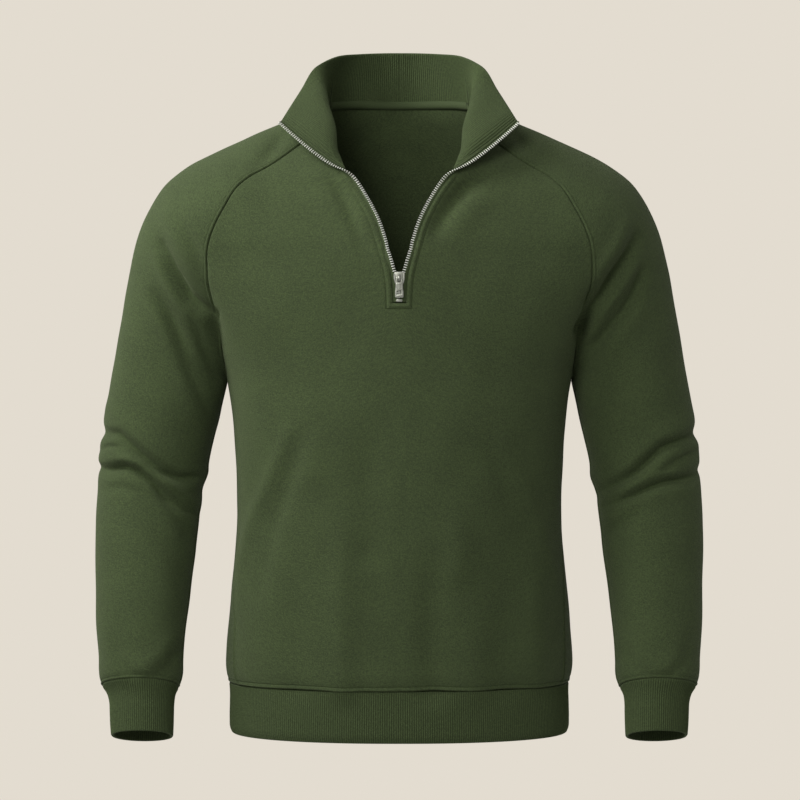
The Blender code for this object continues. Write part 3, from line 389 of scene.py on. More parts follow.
# How many steps to each side a running mean takes in, one after another, and where the zip turns over
ZIP_SMOOTH = {"face": 8, "line": 4, "line_turn": (20, 20, 14), "angle": 8, "angle_turn": (34, 26), "reach": 6}
COLLAR_INSIDE = 14  # columns from the edge that show which way the cloth runs
FRONT_INSIDE = 8
TAPE_FRONT = ZIP_Y + FLEECE / 2 - TAPE_THICK / 2
TAPE_OUT = 3.3  # from the cloth's edge to the tape's rim
TAPE_EVERY = 3  # steps from one section of the tape to the next
TAPE_UNDER = 1.2  # how far the tape goes in under the cloth
CORD_WIDE = 1.1
CORD_THICK = 0.6
CORD_STARTS, CORD_ENDS = 0.3, 0.2
NECK_TAPE = (3.0, 5.5)  # down and up from the seam
NECK_TAPE_CLEAR = 0.1
SHARPEST_BEND = 0.5
SLIDER_TOP = -167.5
SLIDER_LONG = 13.0
WIDE = 11.2 / 2  # half the slider's width
NARROW = WIDE - 1.4  # and at its lower end
# Outlines beside x = 0, corner by corner: x, z and how far it is rounded
SLIDER_HALF = ((1.6, -0.1, 0.8), (WIDE - 1.0, -0.4, 0.9), (WIDE, -2.6, 0.9), (WIDE, -6.5, 1.6),
               (NARROW, 0.6 - SLIDER_LONG, 1.4))
LIP = ((-WIDE, -1.4, 0.3), (0.9 - WIDE, -1.4, 0.3), (0.7 - NARROW, 1.2 - SLIDER_LONG, 0.3),
       (-NARROW, 1.2 - SLIDER_LONG, 0.3), (-WIDE, -6.5, 0.3))
PLATE = 1.4
PLATE_BEVEL = 0.5
LIP_OUT, LIP_THICK, LIP_BEVEL = 0.75, 1.1, 0.25
NECK_DOWN, NECK_SUNK, NECK_RADIUS = 2.3, 0.4, 1.3
PIVOT_DOWN = 6.4
BAR = 1.3
BAR_CLEAR = 0.4
BAR_SUNK = 0.6
ROD_END = 0.55
ROUND = np.linspace(0, 2 * np.pi, 17)[:-1]
SHARP_EDGE = np.radians(50)
CROWN_WIDE = 2.8
CROWN_THICK = 0.62
CROWN_TURN = np.radians(100)
CROWN_SECTIONS = 13
CROWN_BACK, CROWN_OUT, CROWN_HIGH, CROWN_SUNK = 1.2, 2.6, 3.4, 0.6
CROWN_NARROWS = 0.12
TAB_LONG = 20.5
TAB_THICK = 1.2
ARM = 8.4 / 2  # half the tab's width
EYE = CROWN_WIDE / 2 + 0.5  # half the width of the opening that the crown goes through
TAB_HALF = ((ARM - 1.1, 0.6, 0.6), (ARM - 0.6, -4.6, 0.8), (ARM - 0.5, -11.5, 1.0), (ARM, -14.0, 1.0),
            (ARM, -TAB_LONG, 1.3), (1.2, -TAB_LONG, 0.5), (0.7, 1.0 - TAB_LONG, 0.35))
TAB_EYE = ((EYE, -4.6, 0.5), (EYE, -0.7, 0.5))
TAB_WINDOW = ((2.5, -17.2, 0.8), (2.3, -13.0, 0.8))
TAB_FRAME = ((ARM - 1.0, -5.6, 0.9), (ARM - 0.9, -12.4, 0.9))
TAB_FACE = ((ARM - 2.0, -6.4, 0.8), (ARM - 1.9, -11.6, 0.8))
TAB_BEVEL = 0.35
FRAME_THICK, FRAME_BEVEL, FRAME_LIFT = 0.5, 0.2, 0.05
STOP_UP = 1.4
STOP_WIDE = 6.0
STOP_HIGH = 2.0
STOP_THICK = 1.5
STOP_ROUND, STOP_BEVEL = 0.8, 0.45
TOOTH_PITCH = 2.53
# Sections of a tooth: how far out from the tape's rim, half its length along the zip, half its thickness
TOOTH = ((-0.9, 0.40, 0.80), (-0.75, 0.60, 1.02), (0.8, 0.62, 1.05), (1.2, 0.50, 0.98),
         (1.7, 0.46, 0.94), (2.1, 0.62, 1.00), (2.45, 0.56, 0.88), (2.62, 0.30, 0.52))
TOOTH_BEVEL = (0.55, 0.45)  # shares of its length and thickness where the corners are cut
TEETH_START, TEETH_END = 1.5, 2.0
TEETH_IN = (1.2, 1.0)  # how far teeth go on into the slider's top and bottom
TEETH_UP = 4.2  # the lowest tooth is this far above the slit's end

# Grooves, stitch lines and thread
GROOVE_DEEP = 1.2
GROOVE_WIDE = 0.9
PUFF_HIGH = 0.7
PUFF_AWAY = 2.0
PUFF_WIDE = 1.1
SIDE_PUFF_Z, SIDE_PUFF_HIGH = -480, 60  # the side seam is puffed below this
STITCH_DEEP = 0.6
STITCH_WIDE = 0.55
ZIP_PUFF = 1.1
ZIP_STITCH_DEEP = 0.84
ZIP_STITCH = 6.4  # from the zip's edge to the outer row of stitches
SEAM_STITCH = 3.7  # from a seam to the row of stitches beside it
HEM_STITCH = 5.0
RAGLAN_ENDS = (3, 4)  # rows without stitches at the raglan's ends
STITCH_LONG = 2.7
STITCH_EVERY = 3.3
STITCH_UP = 0.12  # how far a stitch stands out of the cloth
STITCH = ((-0.5, 0.25), (-0.36, 0.85), (0.0, 1.0), (0.36, 0.85), (0.5, 0.25))  # along, width
THREAD = 0.21

# Camera
CAMERA = (0.77, -3000, -302.5)
FIELD = 880  # width of the picture at the middle of the garment
SENSOR = 36.0
FARTHEST = 100  # metres

# Colours, linear
GREEN = (0.056, 0.081, 0.027)
NAP = (0.52, 0.64, 0.30)
NAP_ROUGH = 0.45
NICKEL = (0.34, 0.345, 0.29)
TEETH = (0.84, 0.85, 0.76)
BACKDROP = (0.768, 0.716, 0.631)

# Looks: noises are scale, detail, roughness and share; range is where their sum takes the two shades
MATERIALS = {
    "fleece": {"rough": 0.95, "noises": ((600, 3, 0.75, 0.64), (240, 3, 0.6, 0.24), (26, 3, 0.55, 0.12)),
               "range": (0.40, 0.60), "colour": GREEN, "shades": (0.66, 1.36), "bump": 0.0016, "nap": 0.15},
    # The rib's colour carries painted shade: darker in the grooves between ribs and lighter on their crests,
    # at this share.
    "rib": {"rough": 0.95, "noises": ((560, 3, 0.7, 0.65), (300, 2, 0.6, 0.35)), "wave": 0.14,
            "range": (0.34, 0.66), "colour": GREEN, "shades": (0.62, 1.30), "bump": 0.0011, "nap": 0.13},
    "tape": {"rough": 0.85, "noises": ((900, 2, 0.5, 1.0),), "stretch": (1, 2.2, 1),
             "range": (0.35, 0.65), "colour": GREEN, "shades": (0.78, 1.25), "bump": 0.0004, "nap": 0.08},
    "thread": {"rough": 0.7, "noises": ((2500, 1, 0.5, 1.0),), "source": "Object",
               "range": (0.35, 0.65), "colour": GREEN, "shades": (0.85, 1.45)},
    "metal": {"rough": 0.34, "metallic": 1.0, "noises": ((900, 2, 0.6, 1.0),), "source": "Object",
              "range": (0.3, 0.7), "colour": NICKEL, "shades": (0.86, 1.0)},
    "teeth": {"rough": 0.40, "metallic": 0.35, "noises": ((900, 2, 0.6, 1.0),), "source": "Object",
              "range": (0.3, 0.7), "colour": TEETH, "shades": (0.9, 1.0)},
}

# Lights: place, watts and size in metres, where they look, and the strength of the light from all round
LIGHTS = (
    ("key", (-1.04, -0.49, 0.66), 14.0, 0.7),
    ("front", (-0.95, -2.75, 0.85), 33.0, 1.2),
)
AIM = (0, 0, -0.3)
SKY = 0.22
SKY_COLOUR = (1.0, 0.98, 0.95, 1)
SKY_IN_METAL = 0.6
FLOOR = -1.2
FLOOR_WIDE = 60


def through(places, values, at):
    """Smooth values at the given places, from a table's column over its places."""
    places = np.asarray(places, float)
    values = np.asarray(values, float)
    at = np.clip(np.asarray(at, float), places[0], places[-1])
    slope = np.gradient(values, places)
    cell = np.clip(np.searchsorted(places, at, side="right") - 1, 0, len(places) - 2)
    span = places[cell + 1] - places[cell]
    u = (at - places[cell]) / span
    start = values[cell] * (1 + 2 * u) * (1 - u) ** 2 + values[cell + 1] * u * u * (3 - 2 * u)
    return start + span * (slope[cell] * u * (1 - u) ** 2 + slope[cell + 1] * u * u * (u - 1))


def points_of(table, key, at, names=("x", "y", "z")):
    """Points from three columns of a table, read over its column key."""
    return np.stack([through(table[key], table[name], at) for name in names], axis=-1)


def down(table, name, z):
    """Smooth values at the heights z, from a column of a table whose heights fall."""
    return through(-np.asarray(table["z"]), table[name], -z)


def unit(vectors):
    """The vectors, each brought to length 1."""
    length = np.linalg.norm(vectors, axis=-1, keepdims=True)
    return vectors / np.maximum(length, 1e-9)


def smooth_step(x):
    """Runs smoothly from 0 to 1 as x does."""
    x = np.clip(x, 0, 1)
    return x * x * (3 - 2 * x)


def bell(x, width):
    """1 at x = 0, falling away to both sides over the width."""
    return np.exp(-((x / width) ** 2))


def mirrored(points, side):
    """Points of the x > 0 half, on the side that is asked for."""
    return points * np.array([side, 1.0, 1.0])


def lengths_along(grid, axis):
    """Distance from the first row or column, point by point."""
    steps = np.linalg.norm(np.diff(grid, axis=axis), axis=-1)
    start = np.zeros_like(steps.take([0], axis=axis))
    return np.concatenate([start, np.cumsum(steps, axis=axis)], axis=axis)


def read_along(places, at, values):
    """Each column of the values, which lie at the distances at, read at other places."""
    return np.stack([np.interp(places, at, column) for column in values.T], axis=-1)


def smoothed(values, *widths):
    """Running means over the rows, ends kept in place."""
    for width in widths:
        padded = np.concatenate([values[:1]] * width + [values] + [values[-1:]] * width)
        kernel = np.ones(2 * width + 1) / (2 * width + 1)
        values = np.stack([np.convolve(column, kernel, "valid") for column in padded.T], axis=-1)
    return values


def bezier(corners, t):
    """Rows of cubic curves, each from its four corner points."""
    a, b, c, d = (corner[:, None, :] for corner in corners)
    t = np.atleast_2d(t)[..., None]
    return a * (1 - t) ** 3 + 3 * b * t * (1 - t) ** 2 + 3 * c * t * t * (1 - t) + d * t ** 3


def round_arc(start, leaves, end, arrives, t):
    """Rows as near to arcs as a cubic gets, from start, along leaves, to end, along arrives."""
    chord = np.linalg.norm(end - start, axis=-1, keepdims=True)
    turn = np.arccos(np.clip((leaves * arrives).sum(-1, keepdims=True), -1, 1))
    half = np.maximum(turn / 2, LEAST_TURN)
    reach = chord * (2 / 3) * np.tan(half / 2) / np.sin(half)
    return bezier((start, start + leaves * reach, end - arrives * reach, end), t)


def affine_arc(start, leaves, end, arrives, t, square=SQUARENESS):
    """Rows whose handles reach a set part of the way to where their end tangents meet."""
    chord = end - start
    cosine = (leaves * arrives).sum(-1, keepdims=True)
    first = (chord * leaves).sum(-1, keepdims=True)
    last = (chord * arrives).sum(-1, keepdims=True)
    lower = np.maximum(1 - cosine ** 2, LEAST_TURN)
    reach_start = np.clip((first - cosine * last) / lower, 0, LONGEST_HANDLE)
    reach_end = np.clip((last - cosine * first) / lower, 0, LONGEST_HANDLE)
    quarter = np.clip(np.arccos(np.clip(cosine, -1, 1)) / (np.pi / 2), 0, 1)
    share = 2 / 3 + (square - 2 / 3) * quarter
    corners = (start, start + leaves * reach_start * share, end - arrives * reach_end * share, end)
    return bezier(corners, t)


def columns(rows, count, at_end=False):
    """Where each row is read from 0 to 1, close beside the seam and, with at_end, beside the zip."""
    dense = np.linspace(0, 1, SAMPLES)
    along = lengths_along(rows(dense), 1)
    whole = along[:, -1:]
    near = np.array([0, *SEAM_COLUMNS])
    far = np.array([0, *ZIP_COLUMNS] if at_end else [0])[::-1]
    shrink = np.minimum(1, whole / (LEAST_ROOM * (near[-1] + far[0])))
    start, end = near * shrink, whole - far * shrink
    inner = start[:, -1:] + (end[:, :1] - start[:, -1:]) * np.linspace(0, 1, count + 1)[1:-1]
    wanted = np.concatenate([start, inner, end], axis=1)
    found = [np.interp(wish, have, dense) if have[-1] > 0 else wish * 0 for wish, have in zip(wanted, along)]
    return np.array(found)


def cap_lines(v):
    """Seams, shoulder line and the directions of the rows at the seams, for x > 0."""
    tables = {"front": FRONT_SEAM, "back": BACK_SEAM, "top": SHOULDER,
              "edge": FRONT_EDGE, "middle": BACK_MIDDLE}
    lines = {name: points_of(table, "v", v) for name, table in tables.items()}
    apart = smooth_step((v - CREASE_FROM) / (1 - CREASE_FROM))[:, None]
    round_side = smooth_step((v - ROUND_FROM) / (ROUND_TO - ROUND_FROM))[:, None]
    lean = np.array([CREASE_OPEN, 0.0, 0.0])
    body_lean = np.array([BODY_OPEN, 0.0, 0.0])
    for name, inner, sign in (("front", "edge", 1.0), ("back", "middle", -1.0)):
        seam = lines[name]
        chord = unit(lines["top"] - seam)
        at_top = np.array([0.0, sign, 0.0])
        mirror = unit(2 * (chord @ at_top)[:, None] * chord - at_top)
        shared = unit(mirror + unit(seam - lines[inner]))
        lines[name + "_sleeve"] = unit(shared * (1 - apart) + (mirror + lean) * apart)
        lines[name + "_body"] = unit(shared * (1 - round_side) + (at_top + body_lean * apart) * round_side)
    lines["edge_leaves"] = unit(points_of(EDGE_LEAVES, "v", v))
    return lines


def cap_rows(v, lines):
    """Rows of the front, the sleeve and the back above the underarm, for x > 0."""
    forward = np.array([0.0, 1.0, 0.0]) + 0 * lines["top"]
    level = np.array([-1.0, 0.0, 0.0]) + 0 * lines["middle"]
    square = SQUARENESS + CHEST_SQUARE * smooth_step((v[:, None] - CHEST_FROM) / CHEST_FULL)

    def sleeve_rows(t, name, direction):
        return round_arc(lines[name], lines[name + "_sleeve"], lines["top"], direction, t)

    def front_rows(t):
        leaves, arrives = -lines["front_body"], -lines["edge_leaves"]
        return affine_arc(lines["front"], leaves, lines["edge"], arrives, t, square)

    def back_rows(t):
        return affine_arc(lines["back"], -lines["back_body"], lines["middle"], level, t)

    halves = []
    for name, direction in (("front", forward), ("back", -forward)):
        spread = columns(lambda t: sleeve_rows(t, name, direction), HALF_SLEEVE)
        halves.append(sleeve_rows(spread, name, direction))
    sleeve = np.concatenate([halves[0], halves[1][:, -2::-1]], axis=1)
    front = front_rows(columns(front_rows, HALF_FRONT, at_end=True))
    t = columns(back_rows, HALF_BACK)
    back = back_rows(t)
    fade = np.clip(1 - v / NECK_BACK_DOWN, 0, 1) ** 2
    back += (points_of(NECK_BACK, "s", t[0]) - back[0])[None] * fade[:, None, None]
    return front, sleeve, back


def body_rows(table, z, front_t, back_t):
    """Rows of the body below the underarm, from the side seam to the middle of front and back, x > 0."""
    half, fore, aft = (down(table, name, z) for name in ("half", "front", "back"))
    side = np.stack([half, SIDE_Y + 0 * z, z], axis=-1)
    level = np.array([-1.0, 0.0, 0.0]) + 0 * side
    lean = BODY_OPEN * smooth_step((z - LEAN_Z) / LEAN_HIGH)
    forward, backward = (unit(np.stack([-lean, sign + 0 * z, 0 * z], axis=-1)) for sign in (-1.0, 1.0))
    front_end = np.stack([FRONT_EDGE["x"][-1] + 0 * z, -fore, z], axis=-1)
    back_end = np.stack([0 * z, aft, z], axis=-1)
    seam = np.maximum(down(SIDE_SEAM, "share", z), 0)[:, None]
    front_t = seam + (1 - seam) * front_t
    back_t = (1 + seam) * back_t - seam
    square = SQUARENESS + CHEST_SQUARE * smooth_step((z[:, None] - SQUARE_Z) / SQUARE_HIGH)
    front = affine_arc(side, forward, front_end, level, front_t, square)
    ahead = affine_arc(side, forward, front_end, level, np.clip(-back_t, 0, 1), square)
    back = affine_arc(side, backward, back_end, level, np.clip(back_t, 0, 1))
    return front, np.where(back_t[..., None] < 0, ahead, back)


def tube_rows(table, z, tilts, t):
    """Closed rings of a sleeve or cuff from its inner line round the front, for x > 0."""
    x, y, half, deep = (down(table, name, z) for name in ("x", "y", "half", "deep"))
    rise = down(table, "rise", z) if "rise" in table else 0 * z
    middle = np.stack([x, y, z], axis=-1)
    out = np.stack([half, 0 * z, rise], axis=-1)
    tilt = np.radians(tilts)
    fore = np.stack([0 * z, -np.cos(tilt), np.sin(tilt)], axis=-1)
    handle = fore * (4 / 3 * deep[:, None])
    inner, outer = middle - out, middle + out
    front = bezier((inner, inner + handle, outer + handle, outer), t)
    back = bezier((inner, inner - handle, outer - handle, outer), t)
    return np.concatenate([front, back[:, -2::-1]], axis=1)


class Cloth:
    """Sheets of outer points that share their seams, with faces and texture places for each piece."""

    def __init__(self):
        self.blocks = []
        self.count = 0
        self.quads = {}
        self.places = {}

    def add(self, grid):
        """Takes a grid of points in and gives back their numbers."""
        index = np.arange(self.count, self.count + grid[..., 0].size).reshape(grid.shape[:-1])
        self.blocks.append(grid.reshape(-1, 3))
        self.count += index.size
        return index

    def points(self):
        """All points so far, by number."""
        return np.concatenate(self.blocks)

    def mark(self, piece, index, flip=False, places=None):
        """Faces of a grid of point numbers, and where each corner lies on the flat cloth, in metres."""
        if places is None:
            grid = self.points()[index]
            places = np.stack([lengths_along(grid, 1), -lengths_along(grid, 0)], axis=-1) * MM
        first, second = slice(None, -1), slice(1, None)
        corners = [(first, first), (first, second), (second, second), (second, first)]
        if not flip:
            corners = corners[::-1]
        quads = np.stack([index[corner] for corner in corners], axis=-1).reshape(-1, 4)
        spots = np.stack([places[corner] for corner in corners], axis=2).reshape(-1, 4, 2)
        self.quads.setdefault(piece, []).append(quads)
        self.places.setdefault(piece, []).append(spots)

    def close(self):
        """Puts the faces of each piece together."""
        self.quads = {piece: np.concatenate(found) for piece, found in self.quads.items()}
        self.places = {piece: np.concatenate(found) for piece, found in self.places.items()}


def even_steps(stops, counts):
    """Stops joined by even steps, a count of them for each span."""
    spans = zip(stops[:-1], stops[1:], counts)
    return np.concatenate([np.linspace(low, high, count + 1)[1:] for low, high, count in spans])


def with_fine_end(heights):
    """The heights with closer ones just above the last."""
    fine = heights[-1] + np.array(FINE_ROWS)
    return np.concatenate([heights[heights > fine[-1] + FINE_CLEAR], fine[::-1], heights[-1:]])


def cap_steps():
    """Steps v down the yoke from the neck to the underarm, closer just below the slit."""
    v = np.concatenate([[0.0], even_steps((0, NECK_END, SLIT_END, 1), CAP_ROWS)])
    stitched = SLIT_END + np.array(FINE_ROWS) / SLIT_ROW
    even = v[(v <= SLIT_END + 1e-6) | (v > stitched[-1] + SLIT_CLEAR)]
    return np.sort(np.concatenate([even, stitched]))


def lay_out():
    """The panels and sleeves as one sheet, and the point numbers that other pieces need."""
    cloth = Cloth()
    v = cap_steps()
    front, sleeve, back = cap_rows(v, cap_lines(v))
    body_z = with_fine_end(even_steps((BODY_SHAPE["z"][0], BODY_SHAPE["z"][-1]), (BODY_ROWS,)))
    front_t = columns(lambda t: body_rows(BODY_SHAPE, body_z, t, t)[0], HALF_FRONT, at_end=True)
    back_t = columns(lambda t: body_rows(BODY_SHAPE, body_z, t, t)[1], HALF_BACK)
    body_front, body_back = body_rows(BODY_SHAPE, body_z, front_t, back_t)
    sleeve_z = with_fine_end(even_steps((SLEEVE["z"][0], *ELBOW, SLEEVE["z"][-1]), SLEEVE_ROWS))
    tilt = down(SLEEVE, "tilt", sleeve_z)
    tube_t = columns(lambda t: tube_rows(SLEEVE, sleeve_z, tilt, t)[:, :len(t)], HALF_SLEEVE)
    tube = tube_rows(SLEEVE, sleeve_z, tilt, tube_t)
    number = {"neck": CAP_ROWS[0], "slit": CAP_ROWS[0] + CAP_ROWS[1], "cap": len(v)}

    for side, name in SIDES:
        cap = cloth.add(mirrored(sleeve, side))
        cap[-1, -1] = cap[-1, 0]
        rings = cloth.add(mirrored(tube, side))
        rings[:, -1] = rings[:, 0]
        number["sleeve", side] = np.concatenate([cap, rings])
        cloth.mark("sleeve_" + name, number["sleeve", side], flip=side < 0)

        upper = cloth.add(mirrored(front, side))
        upper[:, 0] = cap[:, 0]
        upper[0] = cap[0, 0]
        lower = cloth.add(mirrored(body_front, side))
        number["front", side] = np.concatenate([upper, lower])
        cloth.mark("front_panel", number["front", side], flip=side > 0)

        upper = cloth.add(mirrored(back, side))
        upper[:, 0] = cap[:, -1]
        lower_back = cloth.add(mirrored(body_back, side))
        lower_back[:, 0] = lower[:, 0]
        number["back", side] = np.concatenate([upper, lower_back])
        if side > 0:
            number["back", side][:, -1] = number["back", -side][:, -1]
        cloth.mark("back_panel", number["back", side], flip=side < 0)

    left, right = (number["front", side][number["slit"]:, -1] for side, _ in SIDES)
    points = cloth.points()
    share = np.linspace(0, 1, MIDDLE_COLUMNS)[None, 1:-1, None]
    number["middle"] = cloth.add(points[left][:, None] * (1 - share) + points[right][:, None] * share)
    cloth.mark("front_panel", np.concatenate([left[:, None], number["middle"], right[:, None]], axis=1))
    cloth.close()
    return cloth, number


def face_vectors(points, quads):
    """Normals of the faces, each as long as twice its face's area, and the faces' middles."""
    corners = points[quads]
    faces = np.cross(corners[:, 2] - corners[:, 0], corners[:, 3] - corners[:, 1])
    return faces, corners.mean(axis=1)


def normals_of(points, quads):
    """Normals of the points, from the faces round each."""
    faces, _ = face_vectors(points, quads)
    normals = np.zeros_like(points)
    for k in range(4):
        np.add.at(normals, quads[:, k], faces)
    return unit(normals)


def turned_out(points, quads, places):
    """Faces turned to look away from the middle of a ring or solid."""
    faces, middles = face_vectors(points, quads)
    if ((middles - points.mean(axis=0)) * faces).sum() < 0:
        return quads[:, ::-1], places[:, ::-1]
    return quads, places


def seam_tree(paths):
    """Search tree over points laid every millimetre on the given paths."""
    laid = []
    for path in paths:
        at = lengths_along(path, 0)
        laid.append(read_along(np.arange(0, at[-1], 1.0), at, path))
    laid = np.concatenate(laid)
    tree = KDTree(len(laid))
    for k, point in enumerate(laid):
        tree.insert(point, k)
    tree.balance()
    return tree


def distances(paths, points):
    """How far each point lies from the nearest of the paths."""
    tree = seam_tree(paths)
    found = [tree.find(point)[2] for point in points.reshape(-1, 3)]
    return np.array(found).reshape(points.shape[:-1])


def held_still(points, number):
    """1 where relaxing leaves the cloth alone: at its edges and under the arms."""
    edges = [points[number["front", side][: number["slit"] + 1, -1]] for side, _ in SIDES]
    edges += [points[number[piece, side][row]] for side, _ in SIDES
              for piece, row in (("front", -1), ("back", -1), ("back", 0), ("sleeve", 0), ("sleeve", -1))]
    edges.append(points[number["middle"][0]])
    x, y, z = (FRONT_SEAM[axis][-1] for axis in "xyz")
    underarm = [np.array([(side * x, y, z), (side * x, y, z - 1.0)]) for side, _ in SIDES]
    off_edge = smooth_step(distances(edges, points) / KEEP_EDGE)
    return 1 - off_edge * smooth_step(distances(underarm, points) / KEEP_UNDERARM)


def relax(points, quads, keep):
    """Smooths the joins between the ways the rows are drawn, without shrinking. keep holds points still."""
    a, b = quads.ravel(), np.roll(quads, -1, axis=1).ravel()
    a, b = a[a != b], b[a != b]
    a, b = np.concatenate([a, b]), np.concatenate([b, a])
    free = (1 - keep)[:, None]
    for step in range(RELAX_ROUNDS):
        near = 1 / np.maximum(np.linalg.norm(points[a] - points[b], axis=1), SHORTEST_EDGE)
        total = np.bincount(a, near, len(points))
        mean = np.stack([np.bincount(a, near * points[b, k], len(points)) for k in range(3)], axis=-1)
        mean /= np.maximum(total, 1e-9)[:, None]
        points = points + (mean - points) * free * RELAX_SHARES[step % 2]
    return points


def fill_out(points, number):
    """Carries the round of the body up past the underarms, in front and behind."""
    for side, _ in SIDES:
        for piece, sign in (("front", -1), ("back", 1)):
            index = number[piece, side]
            x, z = np.abs(points[index, 0]), points[index, 2]
            beside_seam = smooth_step((x[:, :1] - x) / FILL_SEAM)
            outward = smooth_step((x - FILL_FROM) / FILL_FULL)
            level = smooth_step(1 - np.abs(z - FILL_Z) / FILL_HIGH)
            points[index, 1] += sign * FILL_DEEP * beside_seam * outward * level


def ease_underarm(points, number):
    """Smooths each piece down its length where the yoke meets the tubes, away from the seams."""
    cap = number["cap"]
    seams = [points[number[piece, side][start:, 0]] for side, _ in SIDES
             for piece, start in (("front", 0), ("back", 0), ("sleeve", cap))]
    for side, _ in SIDES:
        for piece in ("front", "back", "sleeve"):
            index = number[piece, side][cap - EASE_ROWS[0]: cap + EASE_ROWS[1]]
            block = points[index]
            room = smooth_step((distances(seams, block) - EASE_FROM) / EASE_FULL)
            window = np.sin(np.linspace(0, np.pi, len(index)))[:, None] ** 0.5
            weight = (room * window)[1:-1, :, None]
            for _ in range(EASE_ROUNDS):
                block[1:-1] += 0.5 * weight * ((block[:-2] + block[2:]) / 2 - block[1:-1])
            points[index] = block


def from_path(points, path):
    """Distance of x z points from a path, and the share of the path's length at the nearest place."""
    path = np.asarray(path, float)
    starts, run = path[:-1], np.diff(path, axis=0)
    lengths = np.linalg.norm(run, axis=1)
    before = np.concatenate([[0], np.cumsum(lengths)])
    best = np.full(len(points), np.inf)
    share = np.zeros(len(points))
    for start, leg, length, so_far in zip(starts, run, lengths, before):
        at = np.clip(((points - start) @ leg) / length ** 2, 0, 1)
        away = np.linalg.norm(points - start - at[:, None] * leg, axis=1)
        closer = away < best
        best[closer] = away[closer]
        share[closer] = (so_far + at[closer] * length) / before[-1]
    return best, share


def fold_depth(points, normals, folds, inner):
    """How far the folds outside a distance from the middle push each point in."""
    pushed = np.zeros(len(points))
    for (side, face), rows in folds.items():
        facing = smooth_step((face * normals[:, 1] + FOLD_LEAN) / FOLD_TURN) if face else 1.0
        mask = facing * (points[:, 0] * side > inner)
        for depth, width, *path in rows:
            distance, share = from_path(points[:, [0, 2]] * (side, 1), path)
            taper = np.sin(np.pi * (FOLD_END + (1 - 2 * FOLD_END) * share))
            pushed += depth * bell(distance, width) * taper * mask
    return pushed


def drape_height(points, normals):
    """How far the body's broad waves and the cloth's unevenness raise each point."""
    x, y, z = points.T
    raised = np.zeros(len(points))
    for middle, top, bottom, width, height, face in DRAPES:
        along = smooth_step((top - z) / DRAPE_IN) * smooth_step((z - bottom) / DRAPE_OUT)
        facing = smooth_step((face * normals[:, 1]) / DRAPE_TURN)
        raised += height * bell(x - middle, width) * along * facing
    # The uneven cloth: low waves, tens of millimetres long, that cross one another
    raised += 0.35 * np.sin(x / 17 + 1.3 * np.sin(z / 41)) * np.sin(z / 26 + y / 31)
    raised += 0.25 * np.sin(x / 9 + z / 23 + 2.1) * np.sin(z / 13 - y / 19 + 0.7)
    return raised


def seam_relief(points, number):
    """Height of the grooves, ridges and stitch lines beside the seams, the hem and the zip."""
    cap = number["cap"]
    across = points[[number["front", side][-1, -1] for side, _ in SIDES]]
    hems = [points[number[piece, side][-1]] for piece in ("front", "back") for side, _ in SIDES] + [across]
    seams = hems + [points[number["sleeve", side][-1]] for side, _ in SIDES]
    seams += [points[number[piece, side][start:stop, 0]] for side, _ in SIDES
              for piece, start, stop in (("front", 0, None), ("back", 0, cap), ("sleeve", cap, None))]
    away, from_hem = distances(seams, points), distances(hems, points)
    puff = PUFF_HIGH * bell(away - PUFF_AWAY, PUFF_WIDE)
    sleeve_seam = puff - STITCH_DEEP * bell(away - SEAM_STITCH, STITCH_WIDE)
    hem_seam = PUFF_HIGH * bell(from_hem - HEM_STITCH / 2, HEM_STITCH / 3)
    hem_seam -= STITCH_DEEP * bell(from_hem - HEM_STITCH, STITCH_WIDE)
    on_sleeve = np.zeros(len(points), bool)
    on_front = np.zeros(len(points), bool)
    for side, _ in SIDES:
        on_sleeve[number["sleeve", side]] = True
        on_front[number["front", side][cap:]] = True
    relief = np.where(on_sleeve, sleeve_seam, hem_seam) - GROOVE_DEEP * bell(away, GROOVE_WIDE)
    relief += puff * on_front * smooth_step((SIDE_PUFF_Z - points[:, 2]) / SIDE_PUFF_HIGH)

    zips = [points[number["front", side][number["neck"]: number["slit"] + 1, -1]] for side, _ in SIDES]
    from_zip = distances(zips + [points[number["middle"][0]]], points)
    below = (points[:, 2] < SLIT_Z + ZIP_STITCH) & (points[:, 1] < 0)
    square = np.maximum(np.abs(points[:, 0]) - FRONT_EDGE["x"][-1], SLIT_Z - points[:, 2])
    from_zip = np.where(below, np.abs(square), from_zip)
    relief -= ZIP_STITCH_DEEP * bell(from_zip - ZIP_STITCH, STITCH_WIDE)
    return relief + ZIP_PUFF * bell(from_zip - ZIP_STITCH / 2, ZIP_STITCH / 3)


